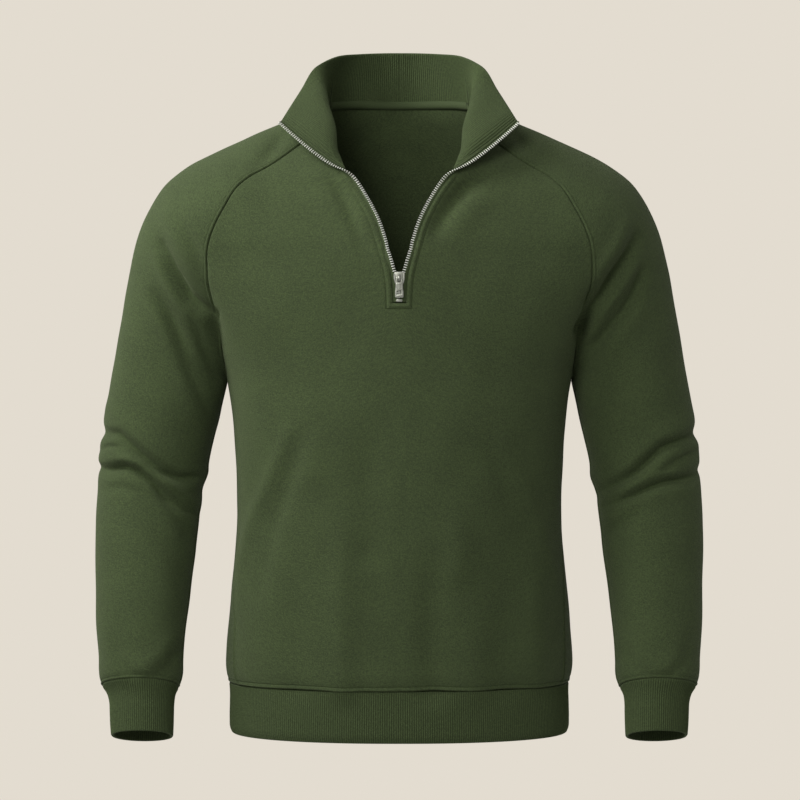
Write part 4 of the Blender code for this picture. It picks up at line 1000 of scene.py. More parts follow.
def wall(points, normals, quads, places, thick, rounding, front_lift=0.0, back_lift=0.0):
    """Closed wall of a piece: outer and inner points with rounded rims. Returns points, quads, places."""
    count = len(points)
    start, end = quads, np.roll(quads, -1, axis=1)
    edge_places = np.stack([places, np.roll(places, -1, axis=1)], axis=2)
    real = (start != end).ravel()
    a, b = start.ravel()[real], end.ravel()[real]
    on_rim = ~np.isin(a * count + b, b * count + a)
    a, b = a[on_rim], b[on_rim]
    rim_places = edge_places.reshape(-1, 2, 2)[real][on_rim]

    shift = np.zeros_like(points)
    direction = unit(points[b] - points[a])
    for ends in (a, b):
        np.add.at(shift, ends, unit(np.cross(normals[ends], direction)))
    rim = np.unique(np.concatenate([a, b]))
    shift[rim] = unit(shift[rim])

    area = np.linalg.norm(face_vectors(points, quads)[0], axis=1) / 2
    face_of = np.repeat(np.arange(len(quads)), 4)[real][on_rim]
    deep = area[face_of] / np.maximum(np.linalg.norm(points[b] - points[a], axis=1), 1e-6)
    room = np.full(count, rounding)
    for ends in (a, b):
        np.minimum.at(room, ends, np.maximum(ROUND_SHARE * deep - SEAM_GAP / 2, LEAST_ROUND))
    room = room[rim][:, None]
    pulled = points.copy()
    pulled[rim] += shift[rim] * (SEAM_GAP / 2 + room)
    outer = pulled + normals * (np.zeros(count) + front_lift)[:, None]
    inner = pulled - normals * (thick + np.zeros(count) + back_lift)[:, None]
    layers = [outer]
    numbers = {0: np.arange(count)}
    place = np.zeros(count, int)
    place[rim] = np.arange(len(rim))
    middle, half = (outer[rim] + inner[rim]) / 2, (outer[rim] - inner[rim]) / 2
    size = count
    for layer, turn in enumerate(np.radians(RIM_TURNS), start=1):
        layers.append(middle + half * np.cos(turn) - shift[rim] * room * np.sin(turn))
        numbers[layer] = size + place
        size += len(rim)
    layers.append(inner)
    numbers[len(RIM_TURNS) + 1] = size + np.arange(count)

    faces = [quads, quads[:, ::-1] + size]
    spots = [places, places[:, ::-1]]
    for layer in range(len(RIM_TURNS) + 1):
        near, far = numbers[layer], numbers[layer + 1]
        faces.append(np.stack([near[b], near[a], far[a], far[b]], axis=1))
        spots.append(rim_places[:, [1, 0, 0, 1]])
    return np.concatenate(layers), np.concatenate(faces), np.concatenate(spots)


def placed(name, data):
    """New object in the scene."""
    made = bpy.data.objects.new(name, data)
    bpy.context.scene.collection.objects.link(made)
    return made


def add_piece(name, points, quads, places):
    """Mesh object in metres from points in millimetres, dropping what no face uses."""
    keep = quads != np.roll(quads, 1, axis=1)
    whole = keep.sum(axis=1) > 2
    quads, keep = quads[whole], keep[whole]
    used, corners = np.unique(quads, return_inverse=True)
    corners = corners.reshape(quads.shape)
    total = keep.sum(axis=1)
    mesh = bpy.data.meshes.new(name)
    mesh.vertices.add(len(used))
    mesh.vertices.foreach_set("co", (points[used] * MM).astype(np.float32).ravel())
    mesh.loops.add(int(total.sum()))
    mesh.loops.foreach_set("vertex_index", corners[keep].astype(np.int32))
    mesh.polygons.add(len(total))
    starts = np.concatenate([[0], np.cumsum(total)[:-1]])
    mesh.polygons.foreach_set("loop_start", starts.astype(np.int32))
    layer = mesh.uv_layers.new(name="flat")
    layer.data.foreach_set("uv", places[whole][keep].astype(np.float32).ravel())
    mesh.update(calc_edges=True)
    mesh.shade_smooth()
    return placed(name, mesh)


def dress(piece, material, body=BODY, stands_for=()):
    """Gives a piece its material and the body it rides on."""
    piece.data.materials.append(material)
    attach(piece, body)
    if stands_for:
        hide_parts(*stands_for)


def add_cloth(cloth, number, materials):
    """Panels and sleeves, with folds, waves and grooves along their seams."""
    points = cloth.points()
    body = np.concatenate(list(cloth.quads.values()))
    points = relax(points, body, held_still(points, number))
    fill_out(points, number)
    ease_underarm(points, number)
    normals = normals_of(points, body)
    raised = drape_height(points, normals) - fold_depth(points, normals, SLEEVE_FOLDS, SLEEVE_INNER)
    raised -= fold_depth(points, normals, BODY_FOLDS, 0)
    points = points + normals * raised[:, None]
    points = points + normals * seam_relief(points, number)[:, None]
    normals = normals_of(points, body)
    for piece, quads in cloth.quads.items():
        own = normals_of(points, quads)
        agree = (own * normals).sum(axis=1, keepdims=True) > SHARP
        made = wall(points, np.where(agree, normals, own), quads, cloth.places[piece], FLEECE, ROUND_FLEECE)
        dress(add_piece("cloth_" + piece, *made), materials["fleece"], stands_for=(piece,))
    return points, normals


def rib_lift(grid, least):
    """Height of the ribs over a grid of rows, one rib for every few columns, flat at its ends and edges."""
    up = lengths_along(grid, 0)
    fade = smooth_step(up / RIB_FADE) * smooth_step((up[-1] - up) / least)
    return RIB_HEIGHT * np.cos(2 * np.pi * np.arange(grid.shape[1]) / RIB_COLUMNS)[None] * fade


def rib_cloth(name, grid, ring=False):
    """Sheet of rib knit whose texture places count whole ribs. Returns points, quads, places."""
    across = np.broadcast_to(np.arange(grid.shape[1]) / RIB_COLUMNS, grid.shape[:2])
    places = np.stack([across * RIB_PITCH * MM, -lengths_along(grid, 0) * MM], axis=-1)
    cloth = Cloth()
    index = cloth.add(grid)
    if ring:
        index[:, -1] = index[:, 0]
    cloth.mark(name, index, places=places)
    cloth.close()
    return cloth.points(), cloth.quads[name], cloth.places[name]


def ring_strip(sections):
    """Closed ring through sections that go round, as points, quads and places."""
    total = sections.shape[0] * sections.shape[1]
    points, quads, places = strip(np.concatenate([sections, sections[:1]]))
    caps = 2 * (sections.shape[1] - 2)
    return points, (quads % total)[:-caps], places[:-caps]


def add_band(name, grid, materials, allowance=()):
    """Closed ring of rib knit from its rows, which start at the seam."""
    along = lengths_along(grid, 1)
    ribs = int(round(along[:, -1].mean() / RIB_PITCH))
    share = (along / along[:, -1:])[len(grid) // 2]
    even = np.linspace(0, 1, ribs * RIB_COLUMNS + 1)
    grid = np.stack([read_along(even, share, row) for row in grid])
    points, quads, places = rib_cloth(name, grid, ring=True)
    quads, places = turned_out(points, quads, places)
    normals = normals_of(points, quads)
    moved = drape_height(points, normals) - fold_depth(points, normals, SLEEVE_FOLDS, SLEEVE_INNER)
    follows = smooth_step(1 - lengths_along(grid, 0).ravel() / BAND_FOLLOWS)
    points = points + normals * (moved * follows)[:, None]
    lift = rib_lift(grid, BAND_EDGE_FADE).ravel()
    made = [wall(points, normals, quads, places, RIB, ROUND_RIB, lift, lift * RIB_INSIDE)]
    if allowance:
        seam, facing = points[: grid.shape[1] - 1], normals[: grid.shape[1] - 1]
        corners = [seam - facing * inset + np.array([0.0, 0.0, high]) for inset, high in allowance]
        made.append(ring_strip(np.stack(corners, axis=1)))
    dress(add_piece("cloth_" + name, *joined(made)), materials["rib"], stands_for=(name,))


def band_heights(table, rows):
    """Heights of a band's rows, closer at its seam and its edge."""
    top, bottom = table["z"][0], table["z"][-1]
    return np.concatenate([[top], np.linspace(top - BAND_TOP, bottom + BAND_END, rows), [bottom]])


def add_bands(materials):
    """Hem band and cuffs."""
    t = np.linspace(0, 1, BAND_SAMPLES)
    front, back = body_rows(HEM, band_heights(HEM, HEM_ROWS), t, t)
    halves = (mirrored(front, -1), front[:, ::-1], back[:, 1:], mirrored(back, -1)[:, -2::-1])
    add_band("hem_band", np.concatenate(halves, axis=1), materials, ALLOWANCE)
    z = band_heights(CUFF, CUFF_ROWS)
    rings = tube_rows(CUFF, z, np.full(len(z), SLEEVE["tilt"][-1]), t)
    for side, name in SIDES:
        add_band("cuff_" + name, mirrored(rings, side), materials)


def neck_seam(points, number, side):
    """Neck seam of one half from the zip to the middle of the back."""
    front = number["front", side][number["neck"]:0:-1, -1]
    path = list(front) + list(number["sleeve", side][0]) + list(number["back", side][0][1:])
    return points[np.array(path)]


def collar_rows(foot):
    """Ribs of one half of the collar that rise from its foot, roll outward and end at the top edge."""
    steps = lengths_along(foot, 0)
    q = steps / steps[-1]
    roll = points_of(COLLAR, "q", q, ("roll_x", "roll_y", "roll_z"))
    top = points_of(COLLAR, "q", q, ("top_x", "top_y", "top_z"))
    t = np.concatenate([np.linspace(0, COLLAR_EDGE, COLLAR_ROWS + 1), [1]])[:, None, None]
    return foot * (1 - t) ** 2 + 2 * roll * t * (1 - t) + top * t * t


def add_collar(points, number, materials):
    """Rib collar with lines of sewing beside the zip. Returns its rows and their normals."""
    seam = neck_seam(points, number, 1)
    at = lengths_along(seam, 0)
    ribs = int(round(at[-1] / RIB_PITCH))
    half = collar_rows(read_along(np.linspace(0, at[-1], ribs * RIB_COLUMNS + 1), at, seam))
    rows = np.concatenate([mirrored(half, -1), half[:, -2::-1]], axis=1)
    flat, quads, places = rib_cloth("collar", rows)
    normals = normals_of(flat, quads)
    share = np.abs(np.linspace(-1, 1, rows.shape[1]))
    lift = rib_lift(rows, RIB_FADE) * smooth_step((1 - share) / COLLAR_END)
    inside = smooth_step((WING_SHARE - share) / WING_FADE) + WING_RIB
    edge = np.minimum(lengths_along(rows, 1), lengths_along(rows[:, ::-1], 1)[:, ::-1])
    sewn = sum(deep * bell(edge - line, COLLAR_LINE) for line, deep in COLLAR_LINES)
    front, back = (lift - sewn).ravel(), (lift * inside - sewn).ravel()
    made = wall(flat, normals, quads, places, RIB, ROUND_RIB, front, back)
    dress(add_piece("cloth_collar", *made), materials["rib"], stands_for=("collar",))
    return rows, normals.reshape(rows.shape)


def strip(sections):
    """Closed solid through sections of the same number of points, as points, quads and places."""
    sections = np.asarray(sections, float)
    rows, count = sections.shape[:2]
    index = np.arange(rows * count).reshape(rows, count)
    ring = np.concatenate([index, index[:, :1]], axis=1)
    grid = sections[:, list(range(count)) + [0]]
    places = np.stack([lengths_along(grid, 1), lengths_along(grid, 0)], axis=-1) * MM
    first, second = slice(None, -1), slice(1, None)
    corners = [(first, first), (second, first), (second, second), (first, second)]
    quads = np.stack([ring[corner] for corner in corners], axis=-1).reshape(-1, 4)
    spots = np.stack([places[corner] for corner in corners], axis=2).reshape(-1, 4, 2)
    for row, flip in ((index[0], False), (index[-1], True)):
        fan = np.array([[row[0], row[k], row[k + 1], row[k + 1]] for k in range(1, count - 1)])
        quads = np.concatenate([quads, fan[:, ::-1] if flip else fan])
        spots = np.concatenate([spots, np.zeros((len(fan), 4, 2))])
    points = sections.reshape(-1, 3)
    return points, *turned_out(points, quads, spots)


def joined(parts):
    """Several lists of points, quads and places as one."""
    before = np.cumsum([0] + [len(points) for points, _, _ in parts[:-1]])
    points, quads, places = zip(*parts)
    quads = [own + shift for own, shift in zip(quads, before)]
    return np.concatenate(points), np.concatenate(quads), np.concatenate(places)


def instances(template, origins, axes):
    """A small solid repeated at the origins, its three numbers along the axes given for each."""
    shape, quads, _ = template
    points = origins[:, None] + np.einsum("mk,nkj->nmj", shape, axes)
    shift = np.arange(len(origins))[:, None, None] * len(shape)
    quads = (quads[None] + shift).reshape(-1, 4)
    return points.reshape(-1, 3), quads, np.zeros((len(quads), 4, 2))


def softened(values, name, turn):
    """Smoothed along the zip, and more so where it turns over at the collar's foot."""
    straight, turning = smoothed(values, ZIP_SMOOTH[name]), smoothed(values, *ZIP_SMOOTH[name + "_turn"])
    return straight * (1 - turn) + turning * turn


def zip_path(points, normals, collar, collar_normals, number, side):
    """Places down one side of the zip, with the directions along, away and out."""
    column, beside = (0, COLLAR_INSIDE) if side < 0 else (-1, -1 - COLLAR_INSIDE)
    rows = number["front", side][number["neck"] + 1: number["slit"] + 1]
    line = np.concatenate([collar[::-1, column], points[rows[:, -1]]])
    inside = np.concatenate([collar[::-1, beside], points[rows[:, -1 - FRONT_INSIDE]]])
    face = np.concatenate([collar_normals[::-1, column], normals[rows[:, -1]]])
    thick = np.concatenate([np.full(len(collar), RIB), np.full(len(rows), FLEECE)])[:, None]
    at = lengths_along(line, 0)
    every = np.arange(0, at[-1], ZIP_STEP)
    line, inside, face, thick = (read_along(every, at, values) for values in (line, inside, face, thick))
    face = smoothed(unit(face), ZIP_SMOOTH["face"])
    line = line - unit(face) * thick / 2
    turn = bell(every - at[len(collar) - 1], ZIP_TURN)[:, None]
    line = softened(line, "line", turn)
    flat = smooth_step((RIM["z"][0] - line[:, 2]) / (RIM["z"][0] - RIM["z"][2]))
    line[:, 1] += (ZIP_Y + FLEECE / 2 - line[:, 1]) * flat
    along = unit(np.gradient(line, axis=0))
    ahead = unit(np.array([0.0, -1.0, 0.0]) + along * along[:, 1:2])
    inward = np.cross(along, ahead) * side
    away = unit(line - inside)
    angle = np.arctan2((away * inward).sum(-1), (away * ahead).sum(-1))[:, None]
    angle = softened(angle, "angle", turn)
    away = ahead * np.cos(angle) + inward * np.sin(angle)
    away = away * (1 - flat[:, None]) + np.array([-side, 0.0, 0.0]) * flat[:, None]
    away = unit(away - along * (away * along).sum(-1, keepdims=True))
    out = unit(np.cross(along, away)) * -side
    reach = np.where(line[:, 2] > RIM["z"][0], TAPE_OUT, np.abs(line[:, 0]) - down(RIM, "x", line[:, 2]))
    reach = smoothed(reach[:, None], ZIP_SMOOTH["reach"])
    at = lengths_along(line, 0)
    return {"at": at, "line": line, "along": along, "away": away, "out": out, "reach": reach}


def add_tape(path, name, materials):
    """Woven tape from the cloth's edge to its corded rim."""
    line, away, out, reach = (path[key][::TAPE_EVERY] for key in ("line", "away", "out", "reach"))
    sections = []
    for p, a, f, r in zip(line, away, out, reach):
        half, cord = f * TAPE_THICK / 2, f * CORD_THICK
        near, before, far = p - a * TAPE_UNDER, p + a * (r - CORD_WIDE), p + a * r
        first, last = before + a * CORD_STARTS, far - a * CORD_ENDS
        sections.append((near + half, before + half, first + cord, last + cord, far,
                         last - cord, first - cord, before - half, near - half))
    piece = add_piece("cloth_" + name, *strip(sections))
    dress(piece, materials["tape"], stands_for=(name,))


def tooth_shape():
    """One tooth: a grip on the tape, a neck and a round head, along, away and out."""
    sections = []
    for away, along, out in TOOTH:
        low = out * TOOTH_BEVEL[1]
        inner = along * TOOTH_BEVEL[0]
        ring = [(-along, low), (-inner, out), (inner, out), (along, low),
                (along, -low), (inner, -out), (-inner, -out), (-along, -low)]
        sections.append([(x, away, y) for x, y in ring])
    return strip(sections)


def add_teeth(path, name, materials, start):
    """Teeth down one tape, left out where the slider hides them."""
    places = np.arange(start, path["at"][-1] - TEETH_END, TOOTH_PITCH)
    line, along, away, out, reach = (read_along(places, path["at"], path[key])
                                     for key in ("line", "along", "away", "out", "reach"))
    origins = line + away * reach
    z = origins[:, 2]
    shown = (z > SLIDER_TOP - TEETH_IN[0]) | (z < SLIDER_TOP - SLIDER_LONG + TEETH_IN[1])
    shown &= z > SLIT_Z + TEETH_UP
    axes = np.stack([unit(along), unit(away), unit(out)], axis=1)
    piece = add_piece(name, *instances(tooth_shape(), origins[shown], axes[shown]))
    dress(piece, materials["teeth"])


def stitch_shape():
    """One stitch, along, across and out, thicker in its middle."""
    sections = []
    for along, wide in STITCH:
        ring = [(np.cos(a) * wide, np.sin(a) * wide) for a in np.radians(np.arange(0, 360, 60))]
        sections.append([(along * STITCH_LONG, x * THREAD, y * THREAD + STITCH_UP * wide) for x, y in ring])
    return strip(sections)


def stitches(path, normals):
    """Thread stitches along a path that lies on the cloth."""
    at = lengths_along(path, 0)
    places = np.arange(STITCH_EVERY, at[-1] - STITCH_EVERY / 2, STITCH_EVERY)
    along = unit(read_along(places + 1.0, at, path) - read_along(places - 1.0, at, path))
    across = unit(np.cross(unit(read_along(places, at, normals)), along))
    axes = np.stack([along, across, np.cross(along, across)], axis=1)
    return instances(stitch_shape(), read_along(places, at, path), axes)


def beside(points, normals, index, distance, from_end=False):
    """Path on the cloth at a distance from a grid's first column, or its last, and the normals along it."""
    if from_end:
        index = index[:, ::-1]
    grid, facing = points[index], normals[index]
    at = lengths_along(grid, 1)
    rows = [row for row in range(len(grid)) if at[row, -1] > distance * 2]
    return [np.concatenate([read_along([distance], at[row], values[row]) for row in rows])
            for values in (grid, facing)]


def add_stitches(points, normals, number, materials):
    """Rows of stitches beside the raglan seams, hem, cuffs and zip."""
    parts = []
    cap = number["cap"]
    for side, _ in SIDES:
        sleeve, front, back = number["sleeve", side], number["front", side], number["back", side]
        raglan = sleeve[RAGLAN_ENDS[0]: cap - RAGLAN_ENDS[1]]
        slit = front[number["neck"] + 2: number["slit"] + 1]
        for index, distance, from_end in ((raglan, SEAM_STITCH, False), (raglan, SEAM_STITCH, True),
                                          (sleeve[cap:, 1:].T, HEM_STITCH, True),
                                          (front.T, HEM_STITCH, True), (back.T, HEM_STITCH, True),
                                          (slit, ZIP_STITCH, True)):
            parts.append(stitches(*beside(points, normals, index, distance, from_end)))
    dress(add_piece("stitches", *joined(parts)), materials["thread"])


def add_neck_tape(points, normals, number, collar, collar_normals, materials):
    """Strip over the back neck seam, inside."""
    sections = []
    half = collar.shape[1] // 2
    for side, _ in SIDES:
        back = number["back", side]
        whole = lengths_along(neck_seam(points, number, side), 0)
        from_zip = whole[-len(back[0]):] / whole[-1] * half
        found = []
        for j in range(0, len(back[0]), 2):
            column = from_zip[j] if side < 0 else collar.shape[1] - 1 - from_zip[j]
            k = int(np.clip(round(column), 0, collar.shape[1] - 1))
            seam, low, high = points[back[0, j]], points[back[8, j]], collar[4, k]
            n_back, n_collar = normals[back[2, j]], collar_normals[2, k]
            lower = seam + unit(low - seam) * NECK_TAPE[0]
            upper = seam + unit(high - seam) * NECK_TAPE[1]
            between = unit(n_back + n_collar)
            bend = between / max(between @ n_collar, SHARPEST_BEND)
            near = SEAM_GAP + NECK_TAPE_CLEAR
            far = near + TAPE_THICK
            found.append((lower - n_back * (FLEECE + near), seam - bend * (RIB + near),
                          upper - n_collar * (RIB + near), upper - n_collar * (RIB + far),
                          seam - bend * (RIB + far), lower - n_back * (FLEECE + far)))
        sections += found if side < 0 else found[::-1][1:]
    piece = add_piece("cloth_neck_tape", *strip(sections))
    dress(piece, materials["tape"], stands_for=("neck_tape",))


def both_sides(half):
    """Whole outline, with each corner rounded, from the x z radius rows of its right half."""
    return rounded(list(half) + [(-x, z, r) for x, z, r in half[::-1]])


def rounded(corners, steps=5):
    """Outline of x z corners, each rounded by its radius."""
    spots = np.array([corner[:2] for corner in corners], float)
    found = []
    for k, (corner, r) in enumerate(zip(spots, [corner[2] for corner in corners])):
        start = corner + unit(spots[k - 1] - corner) * r
        end = corner + unit(spots[(k + 1) % len(spots)] - corner) * r
        for t in np.linspace(0, 1, steps):
            found.append(start * (1 - t) ** 2 + 2 * corner * t * (1 - t) + end * t * t)
    return found


def plate(name, outline, holes, thick, bevel, place):
    """Flat piece with rounded edges, from an x z outline, standing in the x z plane at a place."""
    curve = bpy.data.curves.new(name + "_outline", "CURVE")
    curve.dimensions = "2D"
    curve.fill_mode = "BOTH"
    curve.extrude = (thick / 2 - bevel) * MM
    curve.bevel_depth = bevel * MM
    curve.bevel_resolution = 2
    for line in (outline, *holes):
        spline = curve.splines.new("POLY")
        spline.points.add(len(line) - 1)
        for point, (x, z) in zip(spline.points, line):
            point.co = (x * MM, z * MM, 0, 1)
        spline.use_cyclic_u = True
    holder = placed(name + "_outline", curve)
    bpy.context.view_layer.update()
    mesh = bpy.data.meshes.new_from_object(holder.evaluated_get(bpy.context.evaluated_depsgraph_get()))
    bpy.data.objects.remove(holder)
    mesh.name = name
    co = np.empty(len(mesh.vertices) * 3, np.float32)
    mesh.vertices.foreach_get("co", co)
    x, z, y = co.reshape(-1, 3).T
    standing = np.stack([x, -y, z], axis=-1) + np.array(place) * MM
    mesh.vertices.foreach_set("co", standing.astype(np.float32).ravel())
    made = bmesh.new()
    made.from_mesh(mesh)
    bmesh.ops.remove_doubles(made, verts=made.verts, dist=1e-6)
    bmesh.ops.recalc_face_normals(made, faces=made.faces)
    made.to_mesh(mesh)
    made.free()
    mesh.shade_smooth()
    mesh.set_sharp_from_angle(angle=SHARP_EDGE)
    return placed(name, mesh)


def merge(name, pieces):
    """One piece from several meshes that overlap as one casting."""
    made = bmesh.new()
    for piece in pieces:
        made.from_mesh(piece.data)
        bpy.data.objects.remove(piece)
    mesh = bpy.data.meshes.new(name)
    made.to_mesh(mesh)
    made.free()
    mesh.set_sharp_from_angle(angle=SHARP_EDGE)
    return placed(name, mesh)


def add_rod(name, path, radius):
    """Round bar along the path, with rounded ends."""
    path = np.asarray(path, float)
    sections = []
    last = len(path) - 1
    for k, point in enumerate(path):
        along = unit(path[min(k + 1, last)] - path[max(k - 1, 0)])
        side = unit(np.cross(along, (0.02, 1.0, 0.1)))
        up = np.cross(side, along)
        size = radius * (ROD_END if k in (0, last) else 1.0)
        sections.append([point + (np.cos(a) * side + np.sin(a) * up) * size for a in ROUND])
    return add_piece(name, *strip(sections))


def add_crown(pivot_y, pivot_z, front):
    """Arch on the slider's front that the tab's bar turns under."""
    sections = []
    for turn in CROWN_TURN * np.linspace(-1, 1, CROWN_SECTIONS):
        y = min(pivot_y + CROWN_BACK - np.cos(turn) * CROWN_OUT, front - CROWN_SUNK)
        middle = np.array([0, y, pivot_z + np.sin(turn) * CROWN_HIGH])
        out = np.array([0, -np.cos(turn), np.sin(turn)])
        half = CROWN_WIDE / 2 * (1 - CROWN_NARROWS * abs(np.sin(turn)))
        ring = []
        for cos, sin in zip(np.cos(ROUND), np.sin(ROUND)):
            across = np.array([np.sign(cos) * abs(cos) ** 0.6 * half, 0, 0])
            ring.append(middle + across + out * np.sign(sin) * abs(sin) ** 0.8 * CROWN_THICK)
        sections.append(ring)
    return add_piece("slider_crown", *strip(sections))


def add_slider(materials):
    """Slider body: two plates joined by a neck, with lips, and a crown that arches over the tab's bar."""
    front, back = TAPE_FRONT - SEAM_GAP, TAPE_FRONT + TAPE_THICK + SEAM_GAP
    outline = both_sides(SLIDER_HALF)
    lip_y = front - PLATE * LIP_OUT
    pieces = [plate("slider_front", outline, (), PLATE, PLATE_BEVEL, (0, front - PLATE / 2, SLIDER_TOP)),
              plate("slider_rear", outline, (), PLATE, PLATE_BEVEL, (0, back + PLATE / 2, SLIDER_TOP))]
    for side, _ in SIDES:
        rim = [(-x * side, z) for x, z in rounded(LIP)][::-side]
        pieces.append(plate("slider_lip", rim, (), PLATE * LIP_THICK, LIP_BEVEL, (0, lip_y, SLIDER_TOP)))
    pivot_y, pivot_z = front - PLATE - BAR / 2 - BAR_CLEAR, SLIDER_TOP - PIVOT_DOWN
    pieces.append(add_crown(pivot_y, pivot_z, front))
    ends = [(0, y, SLIDER_TOP - NECK_DOWN) for y in (front - NECK_SUNK, (front + back) / 2, back + NECK_SUNK)]
    pieces.append(add_rod("slider_neck", ends, NECK_RADIUS))
    dress(merge("slider", pieces), materials["metal"], stands_for=("zip_slider",))
    return pivot_y, pivot_z


def add_tab(pivot_y, pivot_z, materials):
    """Pull tab: a bar through the crown, a recessed face and an open window near its end."""
    place = np.array([0, pivot_y, pivot_z])
    holes = (both_sides(TAB_EYE), both_sides(TAB_WINDOW))
    pieces = [plate("tab_plate", both_sides(TAB_HALF), holes, TAB_THICK, TAB_BEVEL, place)]
    frame, face = both_sides(TAB_FRAME), both_sides(TAB_FACE)
    for side, _ in SIDES:
        lifted = place + (0, side * (TAB_THICK / 2 + FRAME_LIFT), 0)
        pieces.append(plate("tab_frame", frame, (face,), FRAME_THICK, FRAME_BEVEL, lifted))
    bar = [(x, pivot_y, pivot_z) for x in (-EYE - BAR_SUNK, -EYE, 0, EYE, EYE + BAR_SUNK)]
    pieces.append(add_rod("tab_bar", bar, BAR / 2))
    dress(merge("tab", pieces), materials["metal"], TAB, stands_for=("pull_tab",))


def add_stop(materials):
    """Stop at the zip's lower end."""
    half = STOP_WIDE / 2
    outline = both_sides(((half, 0, STOP_ROUND), (half, STOP_HIGH, STOP_ROUND)))
    place = (0, TAPE_FRONT - SEAM_GAP - STOP_THICK / 2, SLIT_Z + STOP_UP)
    piece = plate("bottom_stop", outline, (), STOP_THICK, STOP_BEVEL, place)
    dress(piece, materials["metal"], stands_for=("zip_bottom_stop",))


def add_node(tree, kind, values=(), links=()):
    """Shader node with some of its inputs set and others linked."""
    node = tree.nodes.new("ShaderNode" + kind)
    for key, value in dict(values).items():
        node.inputs[key].default_value = value
    for key, source in dict(links).items():
        tree.links.new(source, node.inputs[key])
    return node


def noise(tree, scale, detail, roughness, stretch, source):
    """Noise over the cloth's own texture places or the object, in cycles for each metre."""
    where = add_node(tree, "TexCoord")
    spread = add_node(tree, "Mapping", {"Scale": stretch}, {"Vector": where.outputs[source]})
    values = {"Scale": scale, "Detail": detail, "Roughness": roughness}
    return add_node(tree, "TexNoise", values, {"Vector": spread.outputs["Vector"]}).outputs["Fac"]


def arithmetic(tree, operation, first, second):
    """Math node over two inputs, each a number or another node's output."""
    node = add_node(tree, "Math")
    node.operation = operation
    for socket, value in zip(node.inputs, (first, second)):
        if isinstance(value, (int, float)):
            socket.default_value = value
        else:
            tree.links.new(value, socket)
    return node.outputs[0]


def rib_wave(tree):
    """Painted shade for the rib knit: a wave from the texture places, high on each rib's crest and low in the
    grooves between ribs, that lightens the colour on the crests and darkens it in the grooves.
    """
    places = add_node(tree, "TexCoord").outputs["UV"]
    across = add_node(tree, "SeparateXYZ", links={0: places}).outputs[0]
    return arithmetic(tree, "COSINE", arithmetic(tree, "MULTIPLY", across, 2 * np.pi / (RIB_PITCH * MM)), 0.0)


def new_material(name, look):
    """Material from its row of MATERIALS."""
    material = bpy.data.materials.new(name)
    material.use_nodes = True
    tree = material.node_tree
    shader = tree.nodes["Principled BSDF"]
    shader.inputs["Roughness"].default_value = look["rough"]
    shader.inputs["Metallic"].default_value = look.get("metallic", 0.0)
    grain = None
    for scale, detail, roughness, share in look["noises"]:
        made = noise(tree, scale, detail, roughness, look.get("stretch", (1, 1, 1)), look.get("source", "UV"))
        made = arithmetic(tree, "MULTIPLY", made, share)
        grain = made if grain is None else arithmetic(tree, "ADD", grain, made)
    value = grain
    # Painted shade: the colour is darkened in the grooves between the ribs and lightened on their crests.
    if "wave" in look:
        value = arithmetic(tree, "ADD", arithmetic(tree, "MULTIPLY", rib_wave(tree), look["wave"]), grain)
    low, high = look["range"]
    ramp = add_node(tree, "MapRange", {"From Min": low, "From Max": high}, {"Value": value})
    dark, light = ([channel * shade for channel in look["colour"]] + [1] for shade in look["shades"])
    mix = add_node(tree, "Mix")
    mix.data_type = "RGBA"
    mix.inputs[6].default_value = dark
    mix.inputs[7].default_value = light
    tree.links.new(ramp.outputs["Result"], mix.inputs["Factor"])
    tree.links.new(mix.outputs[2], shader.inputs["Base Color"])
    if "bump" in look:
        bump = add_node(tree, "Bump", {"Distance": look["bump"], "Strength": 1.0}, {"Height": grain})
        tree.links.new(bump.outputs["Normal"], shader.inputs["Normal"])
    if "nap" in look:
        shader.inputs["Sheen Weight"].default_value = look["nap"]
        shader.inputs["Sheen Roughness"].default_value = NAP_ROUGH
        shader.inputs["Sheen Tint"].default_value = (*NAP, 1)
    return material


def add_light(name, place, power, size):
    """Round soft light that looks at the middle of the garment and isn't seen itself."""
    data = bpy.data.lights.new(name, "AREA")
    data.energy = power
    data.shape = "DISK"
    data.size = size
    light = placed(name, data)
    light.location = place
    aim = mathutils.Vector(AIM) - mathutils.Vector(place)
    light.rotation_euler = aim.to_track_quat("-Z", "Y").to_euler()
    light.visible_camera = False


def add_camera():
    """Camera level with the garment's middle, straight in front."""
    data = bpy.data.cameras.new("camera")
    data.sensor_width = SENSOR
    data.lens = SENSOR * -CAMERA[1] / FIELD
    data.clip_end = FARTHEST
    camera = placed("camera", data)
    camera.location = [value * MM for value in CAMERA]
    camera.rotation_euler = (np.pi / 2, 0, 0)
    bpy.context.scene.camera = camera


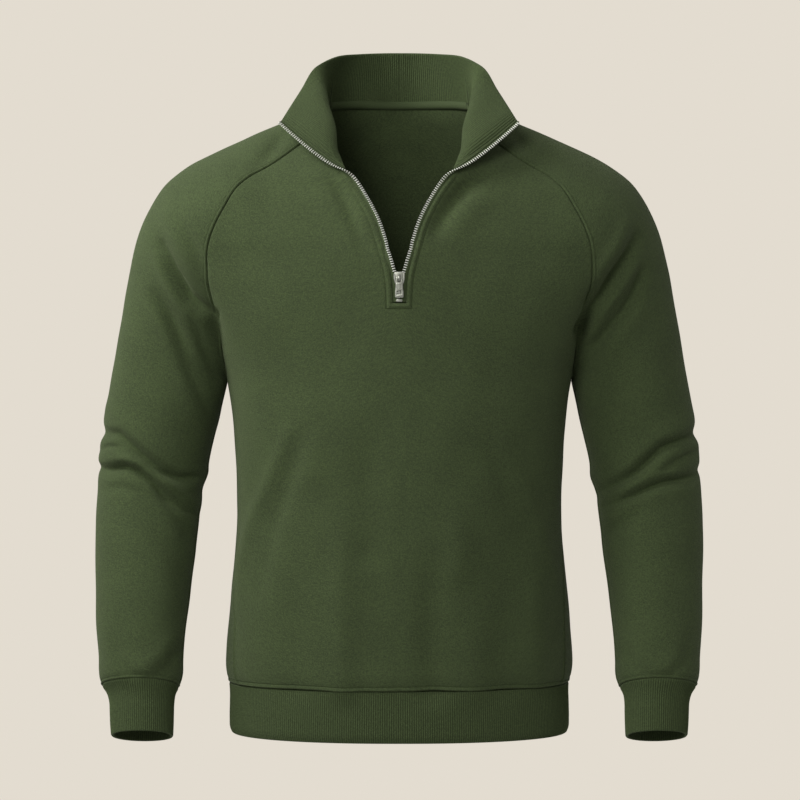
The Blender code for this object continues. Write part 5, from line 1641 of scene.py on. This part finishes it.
def set_world():
    """Plain light from all round, with the backdrop's colour where the camera looks at it."""
    world = bpy.data.worlds.new("studio")
    bpy.context.scene.world = world
    world.use_nodes = True
    tree = world.node_tree
    tree.nodes.clear()
    last = add_node(tree, "Background", {"Color": SKY_COLOUR, "Strength": SKY})
    ray = add_node(tree, "LightPath")
    seen = {"Is Glossy Ray": {"Strength": SKY_IN_METAL}, "Is Camera Ray": {"Color": (*BACKDROP, 1)}}
    for kind, values in seen.items():
        other = add_node(tree, "Background", values)
        links = {0: ray.outputs[kind], 1: last.outputs[0], 2: other.outputs[0]}
        last = add_node(tree, "MixShader", links=links)
    add_node(tree, "OutputWorld", links={0: last.outputs[0]})


def add_floor():
    """Plain floor that glows like the backdrop and takes no part in the light."""
    bpy.ops.mesh.primitive_plane_add(size=FLOOR_WIDE, location=(0, 0, FLOOR))
    floor = bpy.context.object
    floor.name = "floor"
    paper = bpy.data.materials.new("paper")
    paper.use_nodes = True
    tree = paper.node_tree
    tree.nodes.clear()
    glow = add_node(tree, "Emission", {"Color": (*BACKDROP, 1)})
    add_node(tree, "OutputMaterial", links={0: glow.outputs[0]})
    floor.data.materials.append(paper)
    for hidden in ("visible_diffuse", "visible_glossy", "visible_shadow", "visible_transmission"):
        setattr(floor, hidden, False)


def set_stage():
    """Camera, lights, plain floor and background."""
    settings = bpy.context.scene.view_settings
    settings.view_transform = "Standard"
    settings.look = "None"
    add_camera()
    set_world()
    for light in LIGHTS:
        add_light(*light)
    add_floor()


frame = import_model()
materials = {name: new_material(name, look) for name, look in MATERIALS.items()}
cloth, number = lay_out()
points, normals = add_cloth(cloth, number, materials)
add_bands(materials)
collar, collar_normals = add_collar(points, number, materials)
for side, name in SIDES:
    path = zip_path(points, normals, collar, collar_normals, number, side)
    add_tape(path, "zip_tape_" + name, materials)
    add_teeth(path, "zip_teeth_" + name, materials, TEETH_START + (side + 1) * TOOTH_PITCH / 4)
add_neck_tape(points, normals, number, collar, collar_normals, materials)
add_stitches(points, normals, number, materials)
add_tab(*add_slider(materials), materials)
add_stop(materials)
set_stage()
